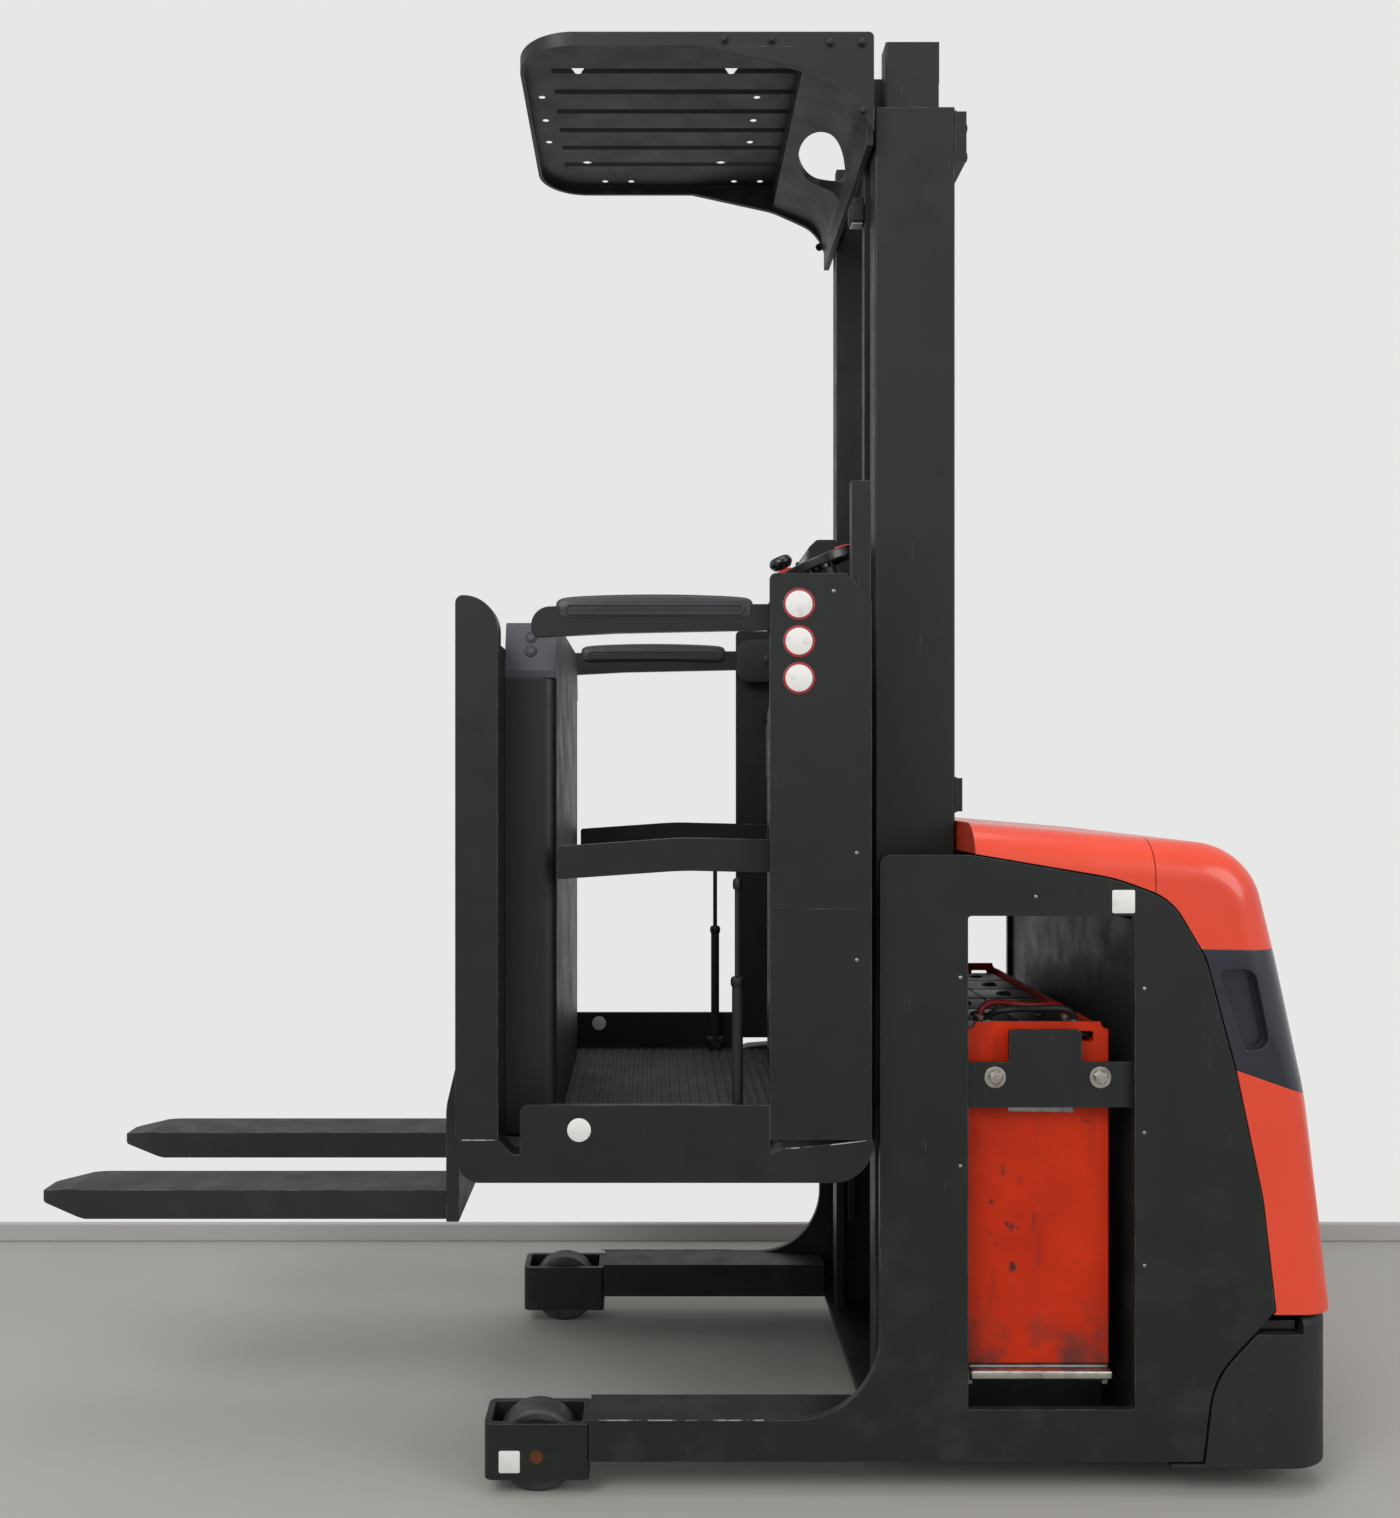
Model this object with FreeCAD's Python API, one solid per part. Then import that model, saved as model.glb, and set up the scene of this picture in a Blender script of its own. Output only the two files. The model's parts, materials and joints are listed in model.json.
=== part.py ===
"""Order picker truck: drive unit, two stage mast, lifting cabin with forks.

Millimetres. +X points from the forks to the drive unit, +Z is up and Y = 0 is
the plane of symmetry. The origin is on the floor under the middle of the truck.
"""
import FreeCAD, Part
import math
import os

V = FreeCAD.Vector

# Driving dimensions of the whole truck, with the stations along it
FORK_LENGTH = 800.0
FORK_PLATE_X = (-430.0, -405.0)
MAST_FRONT = 390.0
MAST_DEPTH = 153.0
BATTERY_WIDTH = 259.0
BULKHEAD_ROOM = 43.0   # from the battery to the bulkhead
DRIVE_ROOM = 140.0     # from the bulkhead to the drive unit's axis
DRIVE_OVERHANG = 245.0  # from that axis to the bumper's face
CHASSIS_HALF = 450.0
CABIN_HALF = 490.0
RUN_GAP = 5.0          # least gap between pieces that move past each other
SEAT_GAP = 0.3         # gap between curved or mating faces of fixed pieces
FORK_TIP_X = FORK_PLATE_X[0] - FORK_LENGTH
MAST_BACK = MAST_FRONT + MAST_DEPTH
BATTERY_X = (MAST_BACK, MAST_BACK + BATTERY_WIDTH)
BULKHEAD_X = BATTERY_X[1] + BULKHEAD_ROOM
DRIVE_X = BULKHEAD_X + DRIVE_ROOM
REAR_X = DRIVE_X + DRIVE_OVERHANG

# Chassis
PLATE = 15.0
PLATE_FRONT_X = MAST_FRONT - 15
PLATE_TOP = 1161.0
FRAME_BOTTOM = 66.0
ARM_TOP = 141.0
ARM_WIDTH = 105.0
ARM_FILLET = 150.0
WHEEL_BOX_X0 = -340.0
WHEEL_BOX_X1 = -150.0
WHEEL_BOX_TOP = 134.0
WHEEL_BOX_BOTTOM = 33.0
BOX_WALL = 12.0
LOAD_WHEEL_R = 75.0
LOAD_WHEEL_W = 65.0
AXLE_R = 12.0
PAN_T = 12.0
BULKHEAD_TOP = 1040.0
SHELF_Z = 300.0
HATCH = (MAST_BACK - 9, 160.0, BATTERY_X[1] + 33, 1051.0)      # x0, z0, x1, z1 of the battery hatch

# Battery and its lock
BATTERY_HALF = CHASSIS_HALF - 45
BATTERY_BASE = 225.0
BATTERY_H = 627.0
LOCK_Z = (702.0, 784.0)
LOCK_TAB_X = (BATTERY_X[0] + 69, BATTERY_X[0] + 201)
LOCK_TAB_TOP = 843.0
LOCK_T = 10.0
ROLLER_R = 18.0

# Drive unit
DRIVE_Y = -150.0
DRIVE_R = 115.0
DRIVE_W = 80.0
CASTOR_Y = 255.0
CASTOR_R = 62.0
CASTOR_W = 45.0
CASTOR_TRAIL = 42.0
CASTOR_SEAT_Z = 165.0

# Mast
MAST_HALF = 303.0
MAST_FLANGE = 60.0
MAST_T = 20.0
MAST_TOP = 2582.0
INNER_TOP = 2720.0
INNER_LIFT = 200.0     # how far the inner mast stands raised
INNER_T = 18.0
INNER_FLANGE = 50.0
CYL_X = MAST_FRONT + 88.0
CYL_Y = 120.0
CYL_R = 25.0
CYL_TOP = 1900.0
ROD_R = 15.0
BORE_R = 19.0

# Cabin
FLOOR_TOP = 640.0
BEAM_X = (-381.0, 356.0)
BEAM_Z = (581.0, 631.0)
BEAM_END_TOP = 657.0
BEAM_W = 50.0
LUG_HALF = 280.0
REAR_CROSS_X = (242.0, 318.0)
KICK_X = (-271.0, 173.0)
KICK_TOP = 719.0
SHEET = 12.0
PANEL_X = (173.0, 354.0)
PANEL_TOP = 1664.0
UPRIGHT_X = (-386.0, -310.0)
UPRIGHT_TOP = 1625.0
UPRIGHT_R = 62.0
CONSOLE_X = (-309.7, -214.0)
CONSOLE_HALF = CABIN_HALF - 105
CONSOLE_TOP = 1592.0
POST_TOP = 1831.0
POST_X = (320.0, 354.0)
FORK_PLATE_Z = (451.0, 751.0)
FORK_PLATE_HALF = 300.0
FORK_Z = (450.0, 506.0)
FORK_SPREAD = 560.0
FORK_W = 130.0
TOP_HINGE = (250.0, 1590.0)
LOW_HINGE = (250.0, 1150.0)
BAR_Y = (CABIN_HALF - 40, CABIN_HALF - 20)
RAIL_Y = (CABIN_HALF - 65, CABIN_HALF - 53)
CARRIAGE_Y = (190.0, 215.0)
CARRIAGE_X = (354.3, 500.0)

# Overhead guard
ROOF_Z = 2700.0
ROOF_T = 25.0
ROOF_HALF = 335.0
ROOF_X = (-295.0, 250.0)
ROOF_CORNER = 110.0
GUARD_END_X = 383.0
GUARD_POST_X = (383.0, 440.0)


def box(x0, x1, y0, y1, z0, z1):
    """A block between two corners."""
    return Part.makeBox(x1 - x0, y1 - y0, z1 - z0, V(x0, y0, z0))


def both(shape):
    """The shape and its mirror image across Y = 0."""
    return [shape, shape.mirror(V(0, 0, 0), V(0, 1, 0))]


def side_pair(x0, x1, y0, y1, z0, z1):
    """A block at +Y and its twin at -Y."""
    return both(box(x0, x1, y0, y1, z0, z1))


def fuse(shapes):
    """One solid from touching shapes."""
    whole = shapes[0].fuse(shapes[1:]) if len(shapes) > 1 else shapes[0]
    return whole.removeSplitter()


def rod(start, end, radius):
    """A round bar between two points."""
    a, b = V(*start), V(*end)
    return Part.makeCylinder(radius, (b - a).Length, a, b - a)


def rounded_face(rows, place):
    """A face from rows (u, v, radius), each corner rounded by its radius."""
    pts = [V(u, v, 0) for u, v, _ in rows]
    count = len(pts)
    edges, ends = [], []
    for i, (_, _, radius) in enumerate(rows):
        p, before, after = pts[i], pts[i - 1], pts[(i + 1) % count]
        d0, d1 = (before - p).normalize(), (after - p).normalize()
        if radius <= 0:
            ends.append((p, p, None))
            continue
        half = d0.getAngle(d1) / 2
        back = radius / math.tan(half)
        middle = (d0 + d1).normalize() * (radius / math.sin(half) - radius)
        ends.append((p + d0 * back, p + d1 * back, p + middle))
    for i in range(count):
        start, end, middle = ends[i]
        if middle is not None:
            edges.append(Part.Arc(start, middle, end).toShape())
        following = ends[(i + 1) % count][0]
        if (following - end).Length > 1e-6:
            edges.append(Part.LineSegment(end, following).toShape())
    face = Part.Face(Part.Wire(edges))
    face.Placement = place
    return face


FACING_SIDE = FreeCAD.Placement(V(0, 0, 0), FreeCAD.Rotation(V(1, 0, 0), 90))
FACING_UP = FreeCAD.Placement(V(0, 0, 0), FreeCAD.Rotation())


def side_prism(rows, y0, y1):
    """Rows (x, z, radius) extruded along Y from y0 to y1."""
    face = rounded_face(rows, FACING_SIDE)
    face.translate(V(0, y0, 0))
    return face.extrude(V(0, y1 - y0, 0))


def up_prism(rows, z0, z1):
    """Rows (x, y, radius) extruded along Z from z0 to z1."""
    face = rounded_face(rows, FACING_UP)
    face.translate(V(0, 0, z0))
    return face.extrude(V(0, 0, z1 - z0))


def end_prism(rows, x0, x1):
    """Rows (y, z, radius) extruded along X from x0 to x1."""
    turn = FreeCAD.Rotation(V(0, 1, 0), V(0, 0, 1), V(1, 0, 0), "XYZ")
    face = rounded_face(rows, FreeCAD.Placement(V(x0, 0, 0), turn))
    return face.extrude(V(x1 - x0, 0, 0))


# Side plate outline: x, z, corner radius
PLATE_ROWS = [
    (PLATE_FRONT_X - ARM_FILLET - 25, FRAME_BOTTOM, 0),
    (PLATE_FRONT_X - ARM_FILLET - 25, ARM_TOP, 0),
    (PLATE_FRONT_X, ARM_TOP, ARM_FILLET),
    (PLATE_FRONT_X, PLATE_TOP, 20),
    (MAST_BACK - 3, PLATE_TOP, 60),
    (BATTERY_X[1] - 2, 1117, 300),
    (REAR_X - 330, 1080, 110),
    (REAR_X - 268, 975, 110),
    (REAR_X - 214, 773, 300),
    (REAR_X - 165, 539, 300),
    (REAR_X - 142, 337, 0),
    (REAR_X - 255, 215, 160),
    (REAR_X - 272, FRAME_BOTTOM, 0),
]

# Side outline of the drive unit hood: x, z, corner radius
HOOD_FRONT_X = MAST_BACK + 5
HOOD_T = 12.0
HOOD_ROUND = 70.0
HOOD_SEAM_X = BULKHEAD_X + 28
HOOD_BOTTOM = 331.0
HOOD_ROWS = [
    (HOOD_FRONT_X, 60, 0),
    (HOOD_FRONT_X, 1218, 0),
    (REAR_X - 168, 1174, 130),
    (REAR_X - 118, 970, 300),
    (REAR_X - 64, 720, 900),
    (REAR_X - 14, 290, 0),
    (REAR_X - 14, 60, 0),
]
PANEL_GAP = 3.0
BAND_ROWS = [
    (REAR_X - 330, 992, 0), (REAR_X + 70, 984, 0), (REAR_X + 70, 700, 0),
    (REAR_X - 70, 722, 60), (REAR_X - 220, 775, 60), (REAR_X - 330, 790, 0),
]
GRIP_ROWS = [(REAR_X - 245, 955, 12), (REAR_X - 178, 955, 25), (REAR_X - 150, 815, 20), (REAR_X - 194, 806, 10)]
GRIP_DEPTH = 22.0
BUMPER_HALF = CHASSIS_HALF + 3
BUMPER_Z = (55.0, 325.0)
BUMPER_WALL = 28.0
BUMPER_CORNER_X = REAR_X - 30


def plate_prism(gap):
    """The space of the side plates' outline across the truck, grown by gap."""
    face = rounded_face(PLATE_ROWS, FACING_SIDE)
    if gap > 0:
        face = face.makeOffset2D(gap)
    face.translate(V(0, -CHASSIS_HALF - 20, 0))
    return face.extrude(V(0, 2 * CHASSIS_HALF + 40, 0))


def chassis_side():
    """Side plate with the load arm, its wheel box and the axle, at +Y."""
    plate = side_prism(PLATE_ROWS, CHASSIS_HALF - PLATE, CHASSIS_HALF)
    x0, z0, x1, z1 = HATCH
    hatch = side_prism([(x0, z0, 6), (x0, z1, 6), (x1, z1, 6), (x1, z0, 6)],
                       CHASSIS_HALF - PLATE - 1, CHASSIS_HALF + 1)
    inner = CHASSIS_HALF - ARM_WIDTH
    arm = box(WHEEL_BOX_X1, PLATE_FRONT_X, inner, CHASSIS_HALF, FRAME_BOTTOM, ARM_TOP)
    shell_rows = [(WHEEL_BOX_X0, inner, 16), (WHEEL_BOX_X1, inner, 8),
                  (WHEEL_BOX_X1, CHASSIS_HALF, 8), (WHEEL_BOX_X0, CHASSIS_HALF, 16)]
    well_rows = [(WHEEL_BOX_X0 + BOX_WALL, inner + BOX_WALL, 6),
                 (WHEEL_BOX_X1 - BOX_WALL, inner + BOX_WALL, 6),
                 (WHEEL_BOX_X1 - BOX_WALL, CHASSIS_HALF - BOX_WALL, 6),
                 (WHEEL_BOX_X0 + BOX_WALL, CHASSIS_HALF - BOX_WALL, 6)]
    wheel_box = up_prism(shell_rows, WHEEL_BOX_BOTTOM, WHEEL_BOX_TOP)
    well = up_prism(well_rows, WHEEL_BOX_BOTTOM - 1, WHEEL_BOX_TOP + 1)
    axle_x = (WHEEL_BOX_X0 + WHEEL_BOX_X1) / 2
    axle = rod((axle_x, inner + 2, LOAD_WHEEL_R), (axle_x, CHASSIS_HALF - 2, LOAD_WHEEL_R), AXLE_R)
    return fuse([plate.cut(hatch), arm, wheel_box.cut(well), axle] + panel_seats())


def panel_seats():
    """Tabs on the side plate's inner face that carry the hood and the bumper, at +Y."""
    y1 = CHASSIS_HALF - PLATE
    room = hood_body(HOOD_T + SEAT_GAP)
    # hood tabs: x from, x to, z from, z to
    tabs = [box(x0, x1, y1 - 20, CHASSIS_HALF, z0, z1).common(room)
            for x0, x1, z0, z1 in ((MAST_BACK + 77, MAST_BACK + 157, 1060, 1190), (REAR_X - 350, REAR_X - 265, 1000, 1050),
                                   (REAR_X - 200, REAR_X - 110, 560, 620))]
    reach = BUMPER_HALF - BUMPER_WALL - SEAT_GAP
    x0 = REAR_X - 330
    return tabs + [box(x0, x0 + 60, reach - 25, y1, 100, 160), box(x0, x0 + 120, reach - 25, reach, 100, 160)]


def base_frame():
    """Floor pan, bulkhead, drive shelf and castor seat between the side plates."""
    half = CHASSIS_HALF - PLATE
    top = FRAME_BOTTOM + PAN_T
    pan = box(PLATE_FRONT_X, BULKHEAD_X, -half, half, FRAME_BOTTOM, top)
    bulkhead = box(BULKHEAD_X, BULKHEAD_X + PAN_T, -half, half, FRAME_BOTTOM, BULKHEAD_TOP)
    shelf = box(BULKHEAD_X + PAN_T, REAR_X - 100, -half, half, SHELF_Z, SHELF_Z + PLATE)
    seat = rod((DRIVE_X, CASTOR_Y, CASTOR_SEAT_Z), (DRIVE_X, CASTOR_Y, SHELF_Z), 50)
    rails = side_pair(BATTERY_X[0], BATTERY_X[1], 330, 360, top, BATTERY_BASE - 2 * ROLLER_R - 4)
    return fuse([pan, bulkhead, shelf, seat] + rails)


def battery_tray():
    """Roller bed under the battery: two side bars and cross rollers."""
    top = BATTERY_BASE - 2 * ROLLER_R - 4
    solids = []
    x0, x1 = BATTERY_X
    bars = [box(x0, x0 + 10, -400, 400, top, BATTERY_BASE - 4),
            box(x1 - 10, x1, -400, 400, top, BATTERY_BASE - 4)]
    solids += bars
    for y in (-390, -234, -78, 78, 234, 390):
        solids.append(rod((x0 + 5, y, BATTERY_BASE - ROLLER_R), (x1 - 5, y, BATTERY_BASE - ROLLER_R), ROLLER_R))
    return fuse(solids)


def battery():
    """Traction battery: a steel case with a rim and two lifting eyes."""
    x0, x1 = BATTERY_X
    case = box(x0, x1, -BATTERY_HALF, BATTERY_HALF, BATTERY_BASE + SEAT_GAP, BATTERY_BASE + BATTERY_H)
    well = box(x0 + 8, x1 - 8, 8 - BATTERY_HALF, BATTERY_HALF - 8, BATTERY_BASE + BATTERY_H - 30,
               BATTERY_BASE + BATTERY_H + 1)
    case = case.cut(well)
    cuts = []
    for x in (x0, x1):
        corner = rod((x, -BATTERY_HALF - 1, BATTERY_BASE + BATTERY_H), (x, BATTERY_HALF + 1, BATTERY_BASE + BATTERY_H), 14)
        cuts.append(corner)
    z = BATTERY_BASE + BATTERY_H - 37
    eye = side_prism([(x1 - 67, z, 5), (x1 - 27, z, 5), (x1 - 27, z + 20, 5), (x1 - 67, z + 20, 5)], -BATTERY_HALF - 1, BATTERY_HALF + 1)
    return case.cut(cuts + [eye])


def battery_lock():
    """Bolted strap that keeps the battery in, behind the hatch edges, at +Y."""
    y1 = CHASSIS_HALF - PLATE
    x0, x1 = MAST_BACK - 28, BULKHEAD_X - 1
    rows = [(x0, LOCK_Z[0], 0), (x0, LOCK_Z[1], 0), (LOCK_TAB_X[0], LOCK_Z[1], 4), (LOCK_TAB_X[0], LOCK_TAB_TOP, 8),
            (LOCK_TAB_X[1], LOCK_TAB_TOP, 8), (LOCK_TAB_X[1], LOCK_Z[1], 4), (x1, LOCK_Z[1], 0), (x1, LOCK_Z[0], 0)]
    return side_prism(rows, y1 - LOCK_T, y1)


def hood_body(inset):
    """Full hood form, offset inwards by inset, its long edges rounded."""
    face = rounded_face(HOOD_ROWS, FACING_SIDE)
    if inset > 0:
        face = face.makeOffset2D(-inset)
    half = CHASSIS_HALF - inset
    face.translate(V(0, -half, 0))
    body = face.extrude(V(0, 2 * half, 0))
    low = body.BoundBox.ZMin + 1
    front = body.BoundBox.XMin + 1
    rims = []
    for edge in body.Edges:
        bb = edge.BoundBox
        flat = bb.YLength < 0.01
        if flat and bb.ZMax > low and bb.XMax > front:
            rims.append(edge)
    return body.makeFillet(HOOD_ROUND - inset, rims)


def hood_parts():
    """Front hood, rear hood and the dark grip band between them."""
    outer = hood_body(0)
    gap_prism = plate_prism(PANEL_GAP)
    shell = outer.cut([hood_body(HOOD_T), gap_prism])
    thick = outer.cut([hood_body(HOOD_T + GRIP_DEPTH), gap_prism])
    wide = CHASSIS_HALF + 20
    band_zone = side_prism(BAND_ROWS, -wide, wide)
    back = REAR_X + 70
    front = shell.common(box(HOOD_FRONT_X, HOOD_SEAM_X - 1, -wide, wide, HOOD_BOTTOM, 1300))
    rear = shell.common(box(HOOD_SEAM_X + 1, back, -wide, wide, HOOD_BOTTOM, 1300)).cut(band_zone)
    band = thick.common(band_zone)
    grips = [side_prism(GRIP_ROWS, s * wide, s * (CHASSIS_HALF - GRIP_DEPTH)) for s in (-1, 1)]
    return front, rear, band.cut(grips)


def bumper():
    """Rear bumper that wraps round the drive unit's foot."""
    def solid(inset, z0, z1):
        half = BUMPER_HALF - inset
        edge = BUMPER_CORNER_X - inset
        front = REAR_X - 330
        rows = [(front, -half, 0), (edge, -half, 90 - inset), (REAR_X + 6.4 - inset, 0, 2000),
                (edge, half, 90 - inset), (front, half, 0)]
        return up_prism(rows, z0, z1)
    outer = solid(0, *BUMPER_Z)
    ring = [e for e in outer.Edges if e.BoundBox.ZLength < 0.01 and e.BoundBox.ZMin > 300 and e.BoundBox.XMax > REAR_X - 329]
    outer = outer.makeFillet(18, ring)
    inner = solid(BUMPER_WALL, BUMPER_Z[0] - 1, BUMPER_Z[1] - BUMPER_WALL)
    hood_room = box(HOOD_FRONT_X, REAR_X - 90, -BUMPER_HALF, BUMPER_HALF, BUMPER_Z[1] - BUMPER_WALL - 1, BUMPER_Z[1] + 1)
    return outer.cut([inner, hood_room, plate_prism(PANEL_GAP + 1)])


def wheel(radius, width, bore, centre, dish):
    """A tyred wheel about Y: barrel with a dished hub each side."""
    x, y, z = centre
    half = width / 2
    edge = 6.0
    rows = [(bore, -half, 0), (bore + 12, -half, 0), (bore + 16, dish - half, 0), (radius * 0.72, dish - half, 0),
            (radius * 0.78, -half, 0), (radius - edge, -half, 0), (radius, edge - half, 0)]
    rows += [(u, -v, 0) for u, v, _ in reversed(rows)]
    face = rounded_face(rows, FACING_UP)
    solid = face.revolve(V(0, 0, 0), V(0, 1, 0), 360)
    solid.translate(V(x, y, z))
    return solid


def drive_unit():
    """Steered turret: bearing disc, gearbox leg and stub axle."""
    disc = rod((DRIVE_X, DRIVE_Y, SHELF_Z - 26), (DRIVE_X, DRIVE_Y, SHELF_Z - SEAT_GAP), 105)
    side = DRIVE_Y + DRIVE_W / 2 + 8
    leg = up_prism([(DRIVE_X - 60, side, 12), (DRIVE_X + 60, side, 12),
                    (DRIVE_X + 60, side + 34, 12), (DRIVE_X - 60, side + 34, 12)], 90, SHELF_Z - 26)
    hub = rod((DRIVE_X, side, DRIVE_R), (DRIVE_X, side + 34, DRIVE_R), 68)
    stub = rod((DRIVE_X, DRIVE_Y - DRIVE_W / 2 + 6, DRIVE_R), (DRIVE_X, side + 1, DRIVE_R), 22)
    return fuse([disc, leg, hub, stub])


def castor_fork():
    """Castor swivel: plate, two cheeks and the wheel's axle."""
    x, y = DRIVE_X + CASTOR_TRAIL, CASTOR_Y
    top = CASTOR_SEAT_Z - SEAT_GAP
    plate = rod((DRIVE_X, y, top - 10), (DRIVE_X, y, top), 48)
    cheek_y = CASTOR_W / 2 + 6
    rows = [(DRIVE_X - 30, top - 10, 0), (DRIVE_X + 34, top - 10, 0), (x + 24, CASTOR_R, 20),
            (x, CASTOR_R - 22, 20), (x - 26, CASTOR_R, 20)]
    cheeks = [side_prism(rows, y + s * cheek_y, y + s * (cheek_y + 7)) for s in (-1, 1)]
    axle = rod((x, y - cheek_y - 3, CASTOR_R), (x, y + cheek_y + 3, CASTOR_R), 9)
    return fuse([plate, axle] + cheeks)


def mast_outer():
    """Fixed mast stage: two channels, rear ties at the top and the middle."""
    t, y1, y0 = MAST_T, MAST_HALF, MAST_HALF - MAST_FLANGE
    rows = [(MAST_FRONT, y0, 0), (MAST_FRONT + t, y0, 3), (MAST_FRONT + t, y1 - t, 3), (MAST_BACK - t, y1 - t, 3),
            (MAST_BACK - t, y0, 3), (MAST_BACK, y0, 0), (MAST_BACK, y1, 4), (MAST_FRONT, y1, 4)]
    channels = both(up_prism(rows, FRAME_BOTTOM + PAN_T, MAST_TOP))
    ties = []
    for z0, z1, depth in ((MAST_TOP - 102, MAST_TOP - 8, 22), (1236, 1300, 14)):
        ties.append(box(MAST_BACK, MAST_BACK + depth, -y1, y1, z0, z1))
    return fuse(channels + ties)


def mast_inner():
    """Lifting mast stage: two channels that nest in the outer ones, with ties."""
    t = INNER_T
    x0, x1 = MAST_FRONT + MAST_T + RUN_GAP, MAST_BACK - MAST_T - RUN_GAP
    y1 = MAST_HALF - MAST_T - RUN_GAP
    y0 = y1 - INNER_FLANGE
    rows = [(x0, y0, 0), (x0 + t, y0, 3), (x0 + t, y1 - t, 3), (x1 - t, y1 - t, 3),
            (x1 - t, y0, 3), (x1, y0, 0), (x1, y1, 4), (x0, y1, 4)]
    foot = FRAME_BOTTOM + PAN_T + RUN_GAP + INNER_LIFT
    channels = both(up_prism(rows, foot, INNER_TOP))
    head = box(CYL_X - 28, x1, -y1, y1, INNER_TOP - 80, INNER_TOP)
    slim = x1 - (CYL_X + CYL_R + 4)
    ties = [box(x1 - slim, x1, -y1, y1, z, z + 60) for z in (foot, 1480)]
    pads = [p for z in (foot, foot + 900) for p in side_pair(440, 490, y1 - 1, y1 + RUN_GAP - SEAT_GAP, z, z + 90)]
    sheaves = both(rod((440, 60, INNER_TOP - 48), (440, 84, INNER_TOP - 48), 34))
    pins = both(rod((440, 72, INNER_TOP - 48), (CYL_X, 72, INNER_TOP - 48), 9))
    return fuse(channels + [head] + ties + pads + sheaves + pins)


def lift_cylinders():
    """Two lift cylinder barrels that stand on the floor pan."""
    foot = FRAME_BOTTOM + PAN_T
    tubes = []
    for s in (-1, 1):
        y = s * CYL_Y
        tube = rod((CYL_X, y, foot), (CYL_X, y, CYL_TOP), CYL_R)
        collar = rod((CYL_X, y, CYL_TOP - 40), (CYL_X, y, CYL_TOP), CYL_R + 2)
        bore = rod((CYL_X, y, foot + 14), (CYL_X, y, CYL_TOP + 1), BORE_R)
        tubes.append(tube.fuse(collar).cut(bore))
    return Part.makeCompound(tubes)


def lift_rods():
    """Piston rods from inside the barrels up to the inner mast's head."""
    foot = FRAME_BOTTOM + PAN_T + INNER_LIFT + 22
    return Part.makeCompound([rod((CYL_X, s * CYL_Y, foot), (CYL_X, s * CYL_Y, INNER_TOP - 80), ROD_R) for s in (-1, 1)])


def carriage():
    """Roller carriage inside the inner mast, with the overhead guard's posts."""
    x0, x1 = CARRIAGE_X
    y0, y1 = CARRIAGE_Y
    low, high = 560.0, 1170.0
    rows = [(x0, low, 0), (x0, high, 0), (GUARD_POST_X[0], high + 60, 40), (GUARD_POST_X[0], ROOF_Z - 20, 0),
            (GUARD_POST_X[1], ROOF_Z - 20, 0), (GUARD_POST_X[1], high + 60, 40), (x1, high, 0), (x1, low, 0)]
    plates = both(side_prism(rows, y0, y1))
    cross = [box(x0, x0 + 24, -y1, y1, z, z + 80) for z in (low, high - 80)]
    cross.append(box(GUARD_POST_X[0], GUARD_POST_X[0] + 15, -y1, y1, ROOF_Z - 180, ROOF_Z - 140))
    roller_x = (MAST_FRONT + MAST_BACK) / 2
    roller_end = MAST_HALF - MAST_T - RUN_GAP - INNER_T - SEAT_GAP
    rollers = []
    for z in (low + 70, high - 60):
        rollers += both(rod((roller_x, y1 - 1, z), (roller_x, roller_end, z), 28))
    return fuse(plates + cross + rollers)


# Side beam of the platform: x, z, corner radius
BEAM_ROWS = [
    (BEAM_X[0], BEAM_END_TOP, 6), (-310, BEAM_END_TOP, 10), (-284, BEAM_Z[1], 10), (KICK_X[1], BEAM_Z[1], 10),
    (195, 641, 20), (BEAM_X[1], BEAM_END_TOP, 0), (BEAM_X[1], BEAM_Z[0], 70), (BEAM_X[0], BEAM_Z[0], 38),
]


def platform_frame():
    """Side beams with kick plates, cross members and floor stringers."""
    inner = CABIN_HALF - BEAM_W
    beam = side_prism(BEAM_ROWS, inner, CABIN_HALF)
    kick = side_prism([(KICK_X[0], BEAM_Z[1] - 2, 0), (KICK_X[0], KICK_TOP, 14), (KICK_X[1], KICK_TOP, 0),
                       (KICK_X[1], BEAM_Z[1] - 2, 0)], CABIN_HALF - SHEET, CABIN_HALF)
    top = FLOOR_TOP - 16
    cross = [box(BEAM_X[0], UPRIGHT_X[1], -inner, inner, BEAM_Z[0], top),
             box(*REAR_CROSS_X, -inner, inner, BEAM_Z[0], top),
             box(REAR_CROSS_X[1], PANEL_X[1], -LUG_HALF, LUG_HALF, BEAM_Z[0], top),
             box(FORK_PLATE_X[1], BEAM_X[0], -LUG_HALF, LUG_HALF, BEAM_Z[0], BEAM_END_TOP)]
    stringers = side_pair(UPRIGHT_X[1], REAR_CROSS_X[0], 180, 210, BEAM_Z[0], top)
    return fuse(both(beam) + both(kick) + cross + stringers)


def platform_floor():
    """Ribbed floor mat with raised strips across the truck."""
    half = CABIN_HALF - BEAM_W - SEAT_GAP
    mat = box(UPRIGHT_X[1] + SEAT_GAP, PANEL_X[1] - 4, -half, half, FLOOR_TOP - 16 + SEAT_GAP, FLOOR_TOP - 4)
    ribs = [box(x, x + 7, 12 - half, half - 12, FLOOR_TOP - 4, FLOOR_TOP) for x in range(-205, 225, 20)]
    return fuse([mat] + ribs)


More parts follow.
